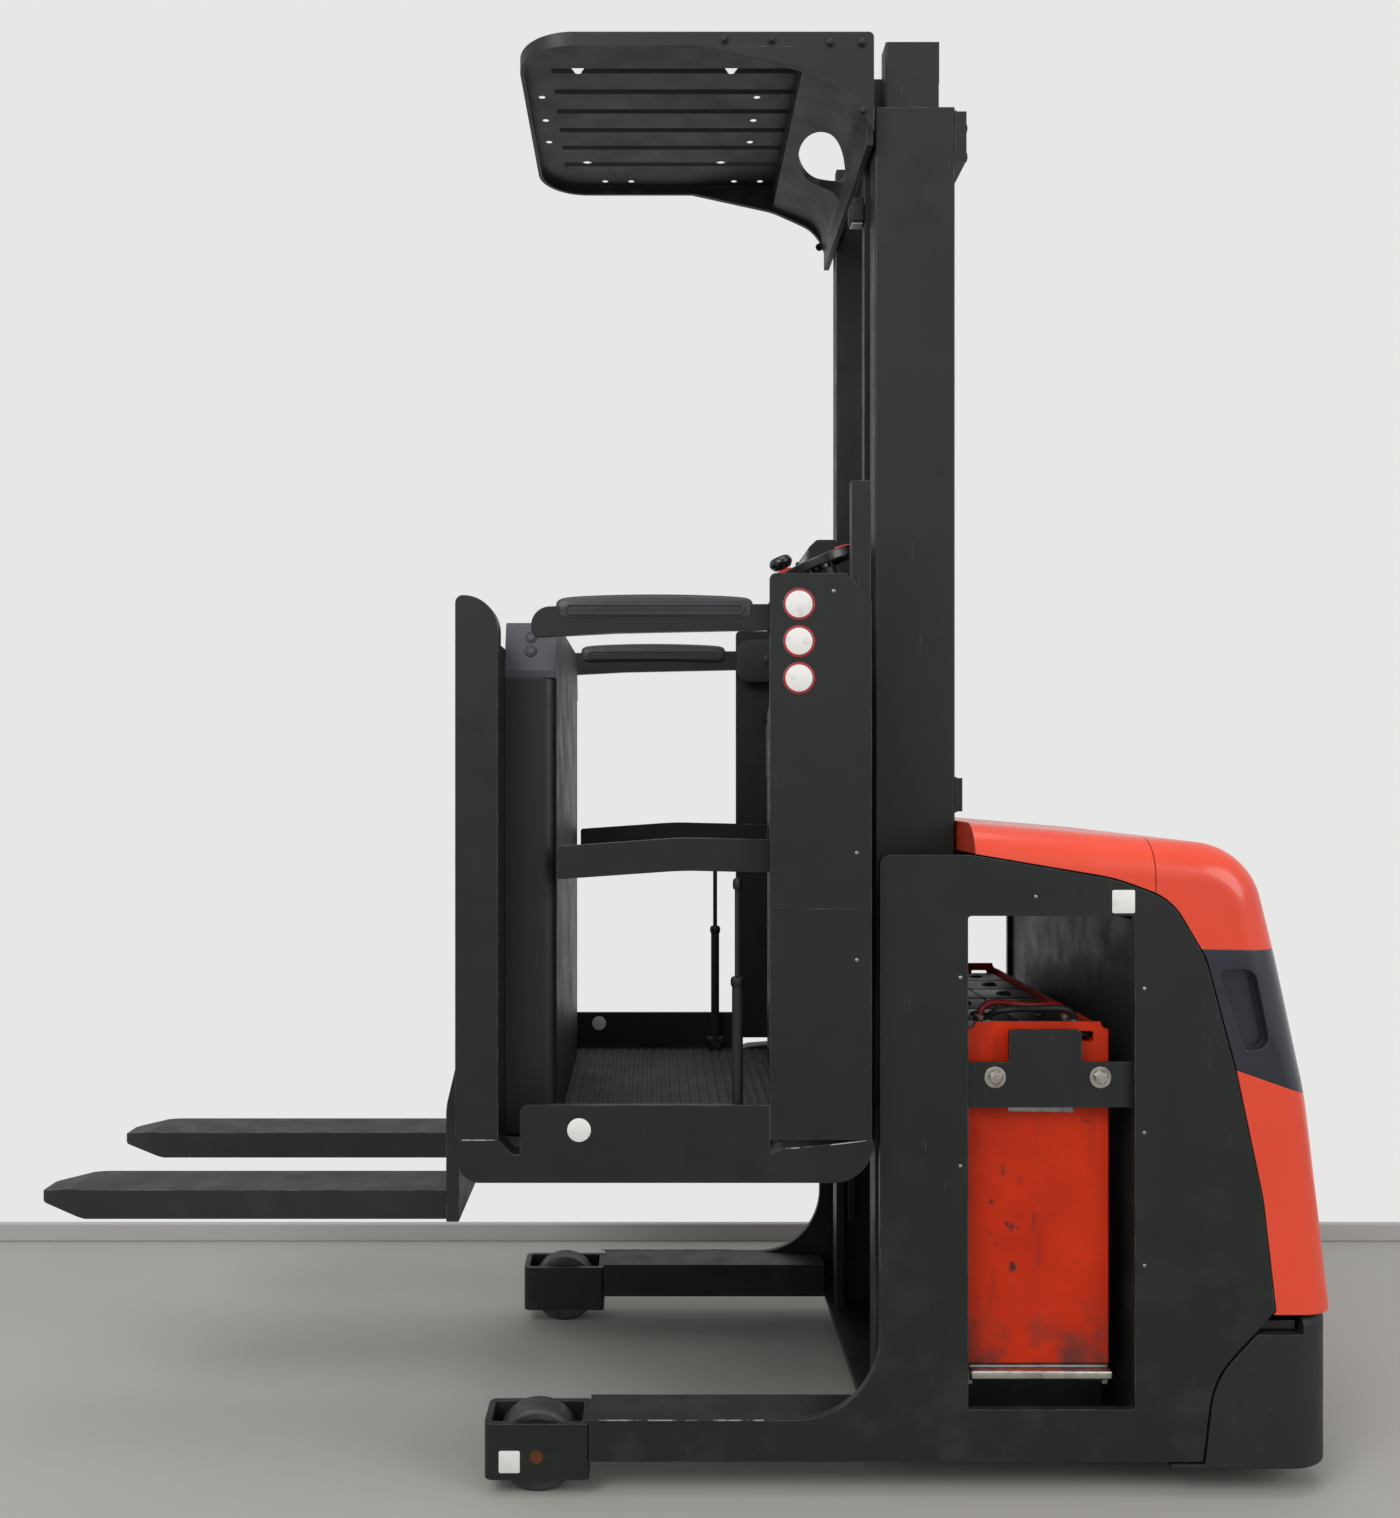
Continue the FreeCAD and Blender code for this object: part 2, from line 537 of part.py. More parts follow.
def side_panels():
    """Side panels of the mast end, each with a side post and gate hinge pins."""
    x0, x1 = PANEL_X
    z0 = BEAM_END_TOP + SEAT_GAP
    rows = [(x0, z0, 0), (x0, PANEL_TOP, 10), (x1 - 46, PANEL_TOP, 10), (x1, PANEL_TOP - 48, 10), (x1, z0, 0)]
    y1 = CABIN_HALF - SHEET
    panel = side_prism(rows, y1, CABIN_HALF)
    post = box(*POST_X, y1 - 26, y1, z0, POST_TOP)
    pins = [rod((x, y - 4, z), (x, y1 + 1, z), 10) for (x, z), y in ((TOP_HINGE, BAR_Y[0]), (LOW_HINGE, RAIL_Y[0]))]
    tie = box(x1 - 14, x1, y1 - 178, y1, 900, 1500)
    return Part.makeCompound(both(fuse([panel, post, tie] + pins)))


def load_end():
    """Load side wall: two uprights with round tops and the sheet between them."""
    x0, x1 = UPRIGHT_X
    z0 = BEAM_END_TOP + SEAT_GAP
    rows = [(x0, z0, 0), (x0, UPRIGHT_TOP, 14), (x1, UPRIGHT_TOP, UPRIGHT_R), (x1, z0, 0)]
    upright = side_prism(rows, CABIN_HALF - BEAM_W, CABIN_HALF)
    sheet = box(x1 - 20, x1, BEAM_W - CABIN_HALF, CABIN_HALF - BEAM_W, FLOOR_TOP, 1540)
    return fuse(both(upright) + [sheet])


def load_console():
    """Load side console: a moulded column across the cabin with soft edges."""
    x0, x1 = CONSOLE_X
    h = CONSOLE_HALF
    rows = [(x0, -h, 0), (x1, -h, 26), (x1, h, 26), (x0, h, 0)]
    return up_prism(rows, FLOOR_TOP + SEAT_GAP, CONSOLE_TOP - 107)


def console_cap():
    """Control cap of the load side console, its ends sloped for the buttons."""
    x0, x1 = CONSOLE_X
    h, z0 = CONSOLE_HALF, CONSOLE_TOP - 107 + SEAT_GAP
    rows = [(-h, z0, 0), (-h, z0 + 14, 0), (34 - h, CONSOLE_TOP, 16), (h - 34, CONSOLE_TOP, 16), (h, z0 + 14, 0), (h, z0, 0)]
    return end_prism(rows, x0, x1)


def mast_console():
    """Mast side console with a sloped front, under the steering wheel."""
    rows = [(235, FLOOR_TOP + SEAT_GAP, 0), (235, 1450, 60), (262, 1580, 40), (PANEL_X[1] - SEAT_GAP, 1610, 0),
            (PANEL_X[1] - SEAT_GAP, FLOOR_TOP + SEAT_GAP, 0)]
    half = CABIN_HALF - 190 - SEAT_GAP
    return side_prism(rows, -half, half)


# Steering wheel: tilted disc with a knob
STEER = (293.0, 260 - CABIN_HALF, 1720.0)
STEER_TILT = 22.0
STEER_R = 78.0


def steering_wheel():
    """Small dished steering disc with a hub, a rim and a spinner knob."""
    tilt = FreeCAD.Rotation(V(0, 1, 0), -STEER_TILT)
    rows = [(0, -14, 0), (22, -14, 0), (24, -4, 0), (STEER_R - 20, -4, 0), (STEER_R - 16, -9, 0), (STEER_R, -9, 3),
            (STEER_R, 9, 3), (STEER_R - 16, 9, 0), (STEER_R - 24, 3, 0), (20, 3, 0), (14, 8, 0), (0, 8, 0)]
    turn = FreeCAD.Placement(V(0, 0, 0), FreeCAD.Rotation(V(1, 0, 0), 90))
    disc = rounded_face(rows, turn).revolve(V(0, 0, 0), V(0, 0, 1), 360)
    stem = rod((8 - STEER_R, 0, 5), (8 - STEER_R, 0, 22), 7)
    knob_rows = [(0, 18, 0), (16, 18, 6), (25, 30, 10), (18, 42, 8), (0, 44, 0)]
    knob = rounded_face(knob_rows, turn).revolve(V(0, 0, 0), V(0, 0, 1), 360)
    knob.translate(V(8 - STEER_R, 0, 0))
    wheel_body = fuse([disc, stem, knob])
    wheel_body.Placement = FreeCAD.Placement(V(*STEER), tilt)
    return wheel_body


def steering_column():
    """Short column from the mast side console up to the steering wheel."""
    tilt = FreeCAD.Rotation(V(0, 1, 0), -STEER_TILT)
    axis = tilt.multVec(V(0, 0, 1))
    top = V(*STEER) - axis * (14 + SEAT_GAP)
    base = V(*STEER) - axis * 150
    column = Part.makeCylinder(30, (top - base).Length, base, axis)
    return column.cut(mast_console())


def display_box():
    """Display housing on the mast side console."""
    rows = [(296, 1590, 0), (283, 1770, 8), (300, 1786, 8), (341, 1786, 8), (350, 1590, 0)]
    block = side_prism(rows, STEER[1] + 105, STEER[1] + 305)
    return block.cut(mast_console())


def gate_bar():
    """Upper gate bar at +Y: arched flat bar with a round nose and hinge eye."""
    rows = [(-253, 1552, 14), (-253, 1606, 34), (-150, 1610, 300), (278, 1612, 20), (278, 1568, 20), (-100, 1560, 300)]
    eye = rod((TOP_HINGE[0], BAR_Y[0] - 1, TOP_HINGE[1]), (TOP_HINGE[0], BAR_Y[1] + 1, TOP_HINGE[1]), 10 + SEAT_GAP)
    return side_prism(rows, *BAR_Y).cut(eye)


def gate_pad():
    """Arm pad moulded over the upper gate bar, at +Y."""
    rows = [(-212, 1588, 10), (-206, 1622, 14), (-90, 1630, 300), (142, 1632, 14), (148, 1606, 20), (134, 1590, 10), (-90, 1588, 300)]
    bar_rows = [(-253, 1552, 14), (-253, 1606, 34), (-150, 1610, 300), (278, 1612, 20), (278, 1568, 20), (-100, 1560, 300)]
    return side_prism(rows, BAR_Y[0] - 8, BAR_Y[1] + 3).cut(side_prism(bar_rows, *BAR_Y))


def gate_rail():
    """Lower gate rail at +Y: arched flat bar with a hinge eye."""
    rows = [(-209, 1116, 3), (-209, 1176, 6), (20, 1192, 600), (278, 1186, 20), (278, 1126, 20), (20, 1132, 600)]
    eye = rod((LOW_HINGE[0], RAIL_Y[0] - 1, LOW_HINGE[1]), (LOW_HINGE[0], RAIL_Y[1] + 1, LOW_HINGE[1]), 10 + SEAT_GAP)
    return side_prism(rows, *RAIL_Y).cut(eye)


def gate_struts():
    """Gas struts that stand from the kick plates up to the lower rails."""
    y = (RAIL_Y[0] + RAIL_Y[1]) / 2
    x = 119.0
    barrel = rod((x, y, FLOOR_TOP + 6), (x, y, 930), 10)
    thin = rod((x, y, 930), (x, y, 1118), 5)
    foot = box(x - 12, x + 12, y - 12, CABIN_HALF - SHEET, FLOOR_TOP + SEAT_GAP, FLOOR_TOP + 6 + 8)
    return Part.makeCompound(both(fuse([barrel, thin, foot])))


def roof_outline(inset):
    """Plan of the overhead guard's roof, inset from its edge."""
    x0, x1 = ROOF_X
    h = ROOF_HALF - inset
    r = ROOF_CORNER - inset
    return [(x0 + inset, -h, r), (x1, -h, 0), (x1, h, 0), (x0 + inset, h, r)]


def guard_roof():
    """Pressed roof plate with grooves, a turned down lip and drain holes."""
    lip = 18.0
    plate = up_prism(roof_outline(0), ROOF_Z - lip, ROOF_Z + 9)
    hollow = up_prism(roof_outline(8), ROOF_Z - lip - 1, ROOF_Z)
    grooves = []
    for y in (-208, -125, -42, 42, 125, 208):
        grooves.append(end_prism([(y - 11, ROOF_Z - 0.5, 0), (y + 11, ROOF_Z - 0.5, 0), (y, ROOF_Z + 5, 0)], ROOF_X[0] + 60, ROOF_X[1] + 1))
    # drain holes: x positions, the distances either side of the middle
    holes = []
    for xs, ys in (((-145, -84, 157, 218), (300,)), ((-183, 121), (200,)), ((-262, 180), (0, 100))):
        for x in xs:
            for y in ys:
                for s in (-1, 1) if y else (1,):
                    holes.append(rod((x, s * y, ROOF_Z - 1), (x, s * y, ROOF_Z + 2), 7))
                    holes.append(Part.makeCone(7, 25, 8, V(x, s * y, ROOF_Z + 1.5)))
    return plate.cut([hollow] + grooves + holes)


def guard_frame():
    """Side walls and curved rear skin that join the roof to its posts."""
    x0, x1 = ROOF_X[1] + SEAT_GAP, GUARD_END_X
    low = ROOF_Z - 18 - SEAT_GAP
    rows = [(60, low, 0), (x0, low, 0), (x0, ROOF_Z + 9, 0), (x1, ROOF_Z + 9, 10), (x1, ROOF_Z - 180, 0),
            (x1 - 31, ROOF_Z - 106, 90), (ROOF_X[1], ROOF_Z - 60, 160)]
    walls = both(side_prism(rows, ROOF_HALF - 12, ROOF_HALF))
    skin_rows = [(x0, ROOF_Z - 52, 0), (x1 - 27, ROOF_Z - 96, 70), (x1, ROOF_Z - 200, 0), (x1, ROOF_Z - 140, 0),
                 (x1 - 21, ROOF_Z - 84, 70), (x0 + 10, ROOF_Z - 40, 6),
                 (x0 + 10, ROOF_Z + 9, 0), (x0, ROOF_Z + 9, 0)]
    skin = side_prism(skin_rows, 12 - ROOF_HALF, ROOF_HALF - 12)
    hole_x = x1 - 57
    ellipse = Part.Ellipse(V(hole_x, 0, ROOF_Z - 300), 120, 48)
    window = Part.Face(Part.Wire(ellipse.toShape()))
    window.rotate(V(hole_x, 0, ROOF_Z), V(0, 0, 1), 90)
    skin = skin.cut(window.extrude(V(0, 0, 400)))
    back = box(x1 - 12, x1, 12 - ROOF_HALF, ROOF_HALF - 12, ROOF_Z - 200, ROOF_Z - 135)
    return fuse(walls + [skin, back])


def fork_plate():
    """Heel plate of the forks, tapered to its top."""
    x0, x1 = FORK_PLATE_X
    z0, z1 = FORK_PLATE_Z
    rows = [(x0, z0, 3), (x0, z1 - 80, 120), (x1 - 6, z1, 0), (x1, z1, 0), (x1, z0, 3)]
    return side_prism(rows, -FORK_PLATE_HALF, FORK_PLATE_HALF)


def forks():
    """Two forks with tapered tips."""
    root = FORK_PLATE_X[0]
    z0, z1 = FORK_Z
    y1 = FORK_SPREAD / 2
    y0 = y1 - FORK_W
    side_rows = [(root, z0, 0), (root, z1, 0), (FORK_TIP_X + 70, z1, 30), (FORK_TIP_X, z1 - 12, 8), (FORK_TIP_X, z0 + 24, 8),
                 (FORK_TIP_X + 100, z0, 20)]
    plan_rows = [(root, y0, 0), (root, y1, 0), (FORK_TIP_X + 90, y1, 60), (FORK_TIP_X, y1 - 36, 25), (FORK_TIP_X, y0 + 36, 25),
                 (FORK_TIP_X + 90, y0, 60)]
    fork = side_prism(side_rows, y0, y1).common(up_prism(plan_rows, z0 - 1, z1 + 1))
    return Part.makeCompound(both(fork))


def mirrored(shape):
    """The shape's mirror image at -Y."""
    return shape.mirror(V(0, 0, 0), V(0, 1, 0))


def build():
    """Every node by name, in the order of the assembly."""
    side, lock, bar, pad, rail = chassis_side(), battery_lock(), gate_bar(), gate_pad(), gate_rail()
    hood_front, hood_rear, hood_band = hood_parts()
    axle_x = (WHEEL_BOX_X0 + WHEEL_BOX_X1) / 2
    axle_y = CHASSIS_HALF - ARM_WIDTH / 2
    load = wheel(LOAD_WHEEL_R, LOAD_WHEEL_W, AXLE_R + SEAT_GAP, (axle_x, axle_y, LOAD_WHEEL_R), 5)
    return {
        "chassis_side_left": mirrored(side), "chassis_side_right": side,
        "base_frame": base_frame(), "battery_tray": battery_tray(), "battery": battery(),
        "battery_lock_left": mirrored(lock), "battery_lock_right": lock,
        "hood_front": hood_front, "hood_rear": hood_rear, "hood_grip_band": hood_band, "bumper": bumper(),
        "mast_outer": mast_outer(), "lift_cylinders": lift_cylinders(),
        "drive_motor": rod((DRIVE_X, DRIVE_Y, SHELF_Z + PLATE), (DRIVE_X, DRIVE_Y, 560), 90),
        "pump_unit": box(BULKHEAD_X + 35, BULKHEAD_X + 165, 60, 330, SHELF_Z + PLATE, 560),
        "load_wheel_left": mirrored(load), "load_wheel_right": load,
        "drive_unit": drive_unit(),
        "drive_wheel": wheel(DRIVE_R, DRIVE_W, 22 + SEAT_GAP, (DRIVE_X, DRIVE_Y, DRIVE_R), 10),
        "castor_fork": castor_fork(),
        "castor_wheel": wheel(CASTOR_R, CASTOR_W, 9 + SEAT_GAP, (DRIVE_X + CASTOR_TRAIL, CASTOR_Y, CASTOR_R), 5),
        "mast_inner": mast_inner(), "lift_rods": lift_rods(),
        "carriage": carriage(), "platform_frame": platform_frame(), "platform_floor": platform_floor(),
        "side_panels": side_panels(), "load_end": load_end(), "load_console": load_console(),
        "console_cap": console_cap(), "mast_console": mast_console(), "display_box": display_box(),
        "steering_column": steering_column(), "steering_wheel": steering_wheel(),
        "gate_bar_left": mirrored(bar), "gate_bar_right": bar,
        "gate_pad_left": mirrored(pad), "gate_pad_right": pad,
        "gate_rail_left": mirrored(rail), "gate_rail_right": rail,
        "gate_struts": gate_struts(), "guard_roof": guard_roof(), "guard_frame": guard_frame(),
        "fork_plate": fork_plate(), "forks": forks(),
    }


def main():
    """Build every node and write its STEP file."""
    os.makedirs("parts", exist_ok=True)
    shift = -(FORK_TIP_X + REAR_X) / 2
    for name, shape in build().items():
        shape.translate(V(shift, 0, 0))
        shape.exportStep("parts/" + name + ".step")
        print(name, len(shape.Solids), shape.isValid(), shape.BoundBox)


if __name__ == "__main__":
    main()
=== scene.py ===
"""Looks of an order picker truck, built as an add-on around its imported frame."""
import json
import math
import bpy
import bmesh
from mathutils import Matrix, Vector


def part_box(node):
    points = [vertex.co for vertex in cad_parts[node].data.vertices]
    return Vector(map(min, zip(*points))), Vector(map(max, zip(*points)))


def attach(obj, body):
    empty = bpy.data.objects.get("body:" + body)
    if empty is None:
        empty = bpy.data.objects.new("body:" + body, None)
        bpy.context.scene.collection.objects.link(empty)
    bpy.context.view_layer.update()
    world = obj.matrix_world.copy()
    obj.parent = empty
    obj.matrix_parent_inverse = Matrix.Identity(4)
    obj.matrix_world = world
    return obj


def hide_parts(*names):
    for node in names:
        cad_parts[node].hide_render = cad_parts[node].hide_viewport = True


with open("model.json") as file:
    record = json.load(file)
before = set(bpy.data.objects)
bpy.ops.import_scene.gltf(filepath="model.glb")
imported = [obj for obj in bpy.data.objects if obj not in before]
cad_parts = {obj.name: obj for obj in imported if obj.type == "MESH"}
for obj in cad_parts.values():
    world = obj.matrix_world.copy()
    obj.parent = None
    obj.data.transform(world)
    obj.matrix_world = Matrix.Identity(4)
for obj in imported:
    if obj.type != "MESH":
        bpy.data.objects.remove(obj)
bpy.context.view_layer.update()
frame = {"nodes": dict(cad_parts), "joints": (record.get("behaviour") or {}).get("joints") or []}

bl_info = {
    "name": "Order picker truck",
    "version": (1, 0, 0),
    "blender": (4, 5, 0),
    "location": "3D View > Sidebar > Picker",
    "description": "Paint, pads, controls, fasteners and stage for an order picker truck",
    "category": "Object",
}

# Sides and directions: the near side is the truck's left
NEAR = -1
FAR = 1
SIDES = ((NEAR, "left"), (FAR, "right"))
REARWARD = Vector((1, 0, 0))
UP = Vector((0, 0, 1))

JOINTS = {joint["name"]: joint for joint in frame["joints"]}


def anchor(joint):
    """Where a joint stands at rest."""
    return Vector(JOINTS[joint]["pos_m"])


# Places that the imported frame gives, in metres
LOAD_AXLE = anchor("load_wheel_right_roll")
DRIVE_AXLE = anchor("drive_wheel_roll")
GATE_PIN = anchor("gate_bar_right_hinge")
STEERING_HUB = anchor("steering_wheel_turn")
STEERING_AXIS = JOINTS["steering_wheel_turn"]["axis"]
CHASSIS_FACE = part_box("chassis_side_right")[1].y
CABIN_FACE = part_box("side_panels")[1].y
STRAP_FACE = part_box("battery_lock_right")[1].y
GUARD_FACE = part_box("guard_frame")[1].y
PLATE_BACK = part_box("fork_plate")[1].x
MAST_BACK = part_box("mast_outer")[1].x
SHELF_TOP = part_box("drive_motor")[0].z
MOTOR_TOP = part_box("drive_motor")[1].z
CAP_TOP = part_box("console_cap")[1].z
CASE_LOW, CASE_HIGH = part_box("battery")
PAD_LOW, PAD_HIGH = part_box("gate_pad_right")
STRUT_X = (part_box("gate_struts")[0].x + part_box("gate_struts")[1].x) / 2

# What is stuck or set on a face: its gap, a sign's thickness and a rivet's height above the face
GAP = 0.0001
FOIL = 0.0006
RIVET_SEAT = 0.0004

# Arm pads: their arch about the middle, and the stitched seam on each face
PAD_Y = (PAD_LOW.y + PAD_HIGH.y) / 2
PAD_HALF_WIDTH = 0.0150
PAD_MIDDLE_X = -0.032
PAD_HALF_LENGTH = 0.18
PAD_TOP_DROP = 0.006
PAD_BASE_DROP = 0.004
PAD_BODY_START, PAD_BODY_LENGTH = -0.192, 0.322
PAD_BODY_STEPS = 14
SEAM_X = (-0.190, 0.126)
SEAM_Z = (1.5975, 1.6135)
SEAM_OUT = 0.0153

# Controls on the two consoles
SLOPE_BUTTON_Z = (1.536, 1.562)
CAP_X = -0.262
STOP_BUTTON = Vector((0.292, 0.250, 1.5905))
KEY_SWITCH = Vector((0.306, 0.195, 1.5975))
LIFT_LEVER = Vector((0.290, 0.130, 1.592))
SCREEN = Vector((0.2875, -0.025, 1.70))
STEERING_TILT = math.atan2(STEERING_AXIS[0], STEERING_AXIS[2])
STEERING_RIM = 0.068

# Mast: hoses, cylinders, sheaves and the carriage's rollers
HOSE_X = 0.505
HOSE_Y = 0.034
HOSE_CLAMP_Z = (1.262, 1.60)
CYLINDER_X = (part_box("lift_cylinders")[0].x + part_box("lift_cylinders")[1].x) / 2
CYLINDER_Y = 0.120
SHEAVE_X, SHEAVE_Y, SHEAVE_Z = 0.440, 0.072, 2.672
ROLLER_X, ROLLER_Y = 0.4665, 0.1898
ROLLER_Z = (0.630, 1.110)
TIE_EDGE_Z = (1.2365, 1.2995, 2.4805, 2.5735)

# Drive unit: the wheel's nuts, the gear cover's screws and the motor's cooling fins
NUT_Y, NUT_CIRCLE = -0.1805, 0.052
COVER_Y, COVER_CIRCLE = -0.0675, 0.050
FIN_FIRST_Z, FIN_PITCH, FIN_COUNT = 0.36, 0.012, 14

# Blank signs: three discs on each side panel, one on each face of a kick plate, two plates on a chassis side
SIGN_X = 0.2245
SIGN_Z = (1.609, 1.543, 1.4775)
KICK_SIGN_X = -0.166
KICK_PLATE_INNER = 0.4779
CHASSIS_PLATES = ((0.794, 0.835, 1.056, 1.098), (-0.313, -0.275, 0.046, 0.086))

# Battery top: two rows of cells inside the case's walls
CELL_TOP = 0.8222
CELL_PITCH_X, CELL_PITCH_Y = 0.117, 0.130
CELL_LENGTH, CELL_WIDTH = 0.114, 0.126
CASE_WALL_X, CASE_WALL_Y = 0.013, 0.017
LEAD_Y = (-0.315, -0.255)
LEAD_X = (0.60, 0.768)

# Gates: the strut's line, the hinge bracket's two faces and the bar's inner face
STRUT_Y = 0.431
BRACKET_Y = (0.4388, 0.4455)
BAR_INNER = 0.4502

# Stage: the camera that was fitted to the photograph, whose sizes here are in pixels
PHOTO_WIDTH, PHOTO_HEIGHT = 1400, 1518
PRINCIPAL_X, PRINCIPAL_Y = 650, 778
FOCAL_LENGTH = 1380
SENSOR_MM = 36
CAMERA = (-0.040, -2.940, 1.300)
FLOOR_REACH = 9
FLOOR_END = 0.95
SKIRT_DEPTH, SKIRT_HEIGHT = 0.02, 0.05


# Node helpers

def add_node(tree, kind, links=None, **settings):
    """A node with its settings, each an attribute or an input, and its incoming links."""
    node = tree.nodes.new(kind)
    for key, value in settings.items():
        if hasattr(node, key):
            setattr(node, key, value)
        else:
            node.inputs[key.replace("_", " ")].default_value = value
    for socket, source in (links or {}).items():
        tree.links.new(source, node.inputs[socket])
    return node


class Shade:
    """One material's node tree with short calls for the nodes it uses."""

    def __init__(self, name):
        self.material = bpy.data.materials.new(name)
        self.material.use_nodes = True
        self.tree = self.material.node_tree
        self.shader = self.tree.nodes["Principled BSDF"]
        self.place = self.add("ShaderNodeTexCoord").outputs["Object"]

    def add(self, kind, links=None, **settings):
        return add_node(self.tree, kind, links, **settings)

    def feed(self, socket, value):
        """Links the value where it is a socket, and sets it otherwise."""
        if hasattr(value, "is_linked"):
            self.tree.links.new(value, socket)
        else:
            socket.default_value = value

    def stretch(self, scale, turn=(0, 0, 0)):
        return self.add("ShaderNodeMapping", {"Vector": self.place}, Scale=scale, Rotation=turn).outputs[0]

    def noise(self, scale, detail=4.0, source=None):
        node = self.add("ShaderNodeTexNoise", {"Vector": source or self.place}, Scale=scale, Detail=detail,
                        Roughness=0.55)
        return node.outputs["Fac"]

    def cells(self, scale):
        return self.add("ShaderNodeTexVoronoi", {"Vector": self.place}, Scale=scale).outputs["Distance"]

    def span(self, source, low, high, out_low=0.0, out_high=1.0):
        node = self.add("ShaderNodeMapRange", {"Value": source}, From_Min=low, From_Max=high, To_Min=out_low,
                        To_Max=out_high)
        return node.outputs[0]

    def cloud(self, scale, detail, low, high, out_low=0.0, out_high=1.0):
        """Noise, spread between two levels."""
        return self.span(self.noise(scale, detail), low, high, out_low, out_high)

    def maths(self, operation, a, b):
        node = self.add("ShaderNodeMath", operation=operation)
        self.feed(node.inputs[0], a)
        self.feed(node.inputs[1], b)
        return node.outputs[0]

    def times(self, a, b):
        return self.maths("MULTIPLY", a, b)

    def vector(self, operation, a, b=None):
        node = self.add("ShaderNodeVectorMath", {0: a}, operation=operation)
        if b is not None:
            self.feed(node.inputs[1], b)
        return node

    def blend(self, share, first, second):
        node = self.add("ShaderNodeMix", data_type="RGBA", blend_type="MIX")
        for index, value in ((0, share), (6, first), (7, second)):
            self.feed(node.inputs[index], value)
        return node.outputs[2]

    def height(self):
        return self.add("ShaderNodeSeparateXYZ", {0: self.place}).outputs[2]

    def rounded(self, radius):
        """The normal softened at edges."""
        return self.add("ShaderNodeBevel", samples=4, Radius=radius).outputs[0]

    def rubbed(self, soft):
        """Share from 0 on flats to 1 on worn edges, from the softened normal."""
        true = self.add("ShaderNodeNewGeometry").outputs["Normal"]
        return self.span(self.vector("DOT_PRODUCT", soft, true).outputs["Value"], 0.985, 0.86)

    def bump(self, source, strength, distance, normal=None):
        node = self.add("ShaderNodeBump", {"Height": source}, Strength=strength, Distance=distance)
        if normal:
            self.feed(node.inputs["Normal"], normal)
        return node.outputs[0]

    def finish(self, colour, rough, normal=None, **sockets):
        sockets.update(Base_Color=colour, Roughness=rough)
        if normal is not None:
            sockets["Normal"] = normal
        for name, value in sockets.items():
            self.feed(self.shader.inputs[name.replace("_", " ")], value)
        return self.material


def rgb(colour, factor=1.0):
    """A colour with its alpha, lightened or darkened."""
    return tuple(min(1.0, c * factor) for c in colour[:3]) + (1.0,)


# Finishes of this truck

def painted_steel(name, colour, rough, wear, chip=(0.20, 0.20, 0.19), coat=0.0):
    """Sprayed steel: cloudy tone, fine peel, scratches, and edges rubbed pale."""
    s = Shade(name)
    tone = s.blend(s.cloud(2.2, 6, 0.35, 0.65), rgb(colour, 0.92), rgb(colour, 1.08))
    dust = s.times(s.cloud(9, 7, 0.50, 0.80), s.span(s.height(), 0.7, 0.0, 0.02, 0.22))
    tone = s.blend(dust, tone, (0.13, 0.12, 0.105, 1.0))
    hair = s.noise(1.0, 2, s.stretch((700, 700, 14), (0.5, 0.9, 0.2)))
    scratch = s.times(s.span(hair, 0.70, 0.76), s.cloud(5, 3, 0.56, 0.68))
    tone = s.blend(s.times(scratch, wear), tone, rgb(chip, 1.5))
    soft = s.rounded(0.0022)
    worn = s.times(s.rubbed(soft), s.cloud(26, 5, 0.42, 0.62, 0.12, 1.0))
    tone = s.blend(s.times(worn, wear), tone, rgb(chip))
    gloss = s.cloud(14, 5, 0.3, 0.7, rough - 0.07, rough + 0.10)
    peel = s.bump(s.noise(420, 2), 0.10, 0.0006, soft)
    return s.finish(tone, gloss, peel, Coat_Weight=coat, Coat_Roughness=0.12, Specular_IOR_Level=0.35)


def worn_edge(name, colour, metal):
    """An edge rubbed through to pale metal in places, painted elsewhere."""
    s = Shade(name)
    return s.finish(s.blend(s.cloud(34, 5, 0.46, 0.56), rgb(colour), rgb(metal)), 0.45)


def battery_steel(name, colour):
    """Battery case: scuffed paint with black streaks and rust runs, and darker towards its foot."""
    s = Shade(name)
    tone = s.blend(s.cloud(7, 8, 0.35, 0.7), rgb(colour, 0.80), rgb(colour, 1.10))
    runs = s.noise(1.0, 5, s.stretch((34, 34, 3.2)))
    tone = s.blend(s.span(runs, 0.60, 0.80, 0.0, 0.75), tone, (0.16, 0.02, 0.01, 1.0))
    spots = s.times(s.cloud(38, 9, 0.60, 0.70), s.cloud(6, 2, 0.46, 0.6))
    tone = s.blend(spots, tone, (0.03, 0.02, 0.018, 1.0))
    # Darker towards the foot of the case
    foot = s.times(s.span(s.height(), 0.36, 0.24), s.cloud(16, 6, 0.38, 0.62))
    tone = s.blend(s.times(foot, 0.8), tone, (0.05, 0.03, 0.025, 1.0))
    soft = s.rounded(0.003)
    tone = s.blend(s.times(s.rubbed(soft), s.cloud(30, 4, 0.45, 0.6)), tone, (0.07, 0.045, 0.04, 1.0))
    bump = s.bump(s.noise(60, 8), 0.25, 0.001, soft)
    return s.finish(tone, s.cloud(20, 4, 0.3, 0.7, 0.42, 0.68), bump, Specular_IOR_Level=0.2)


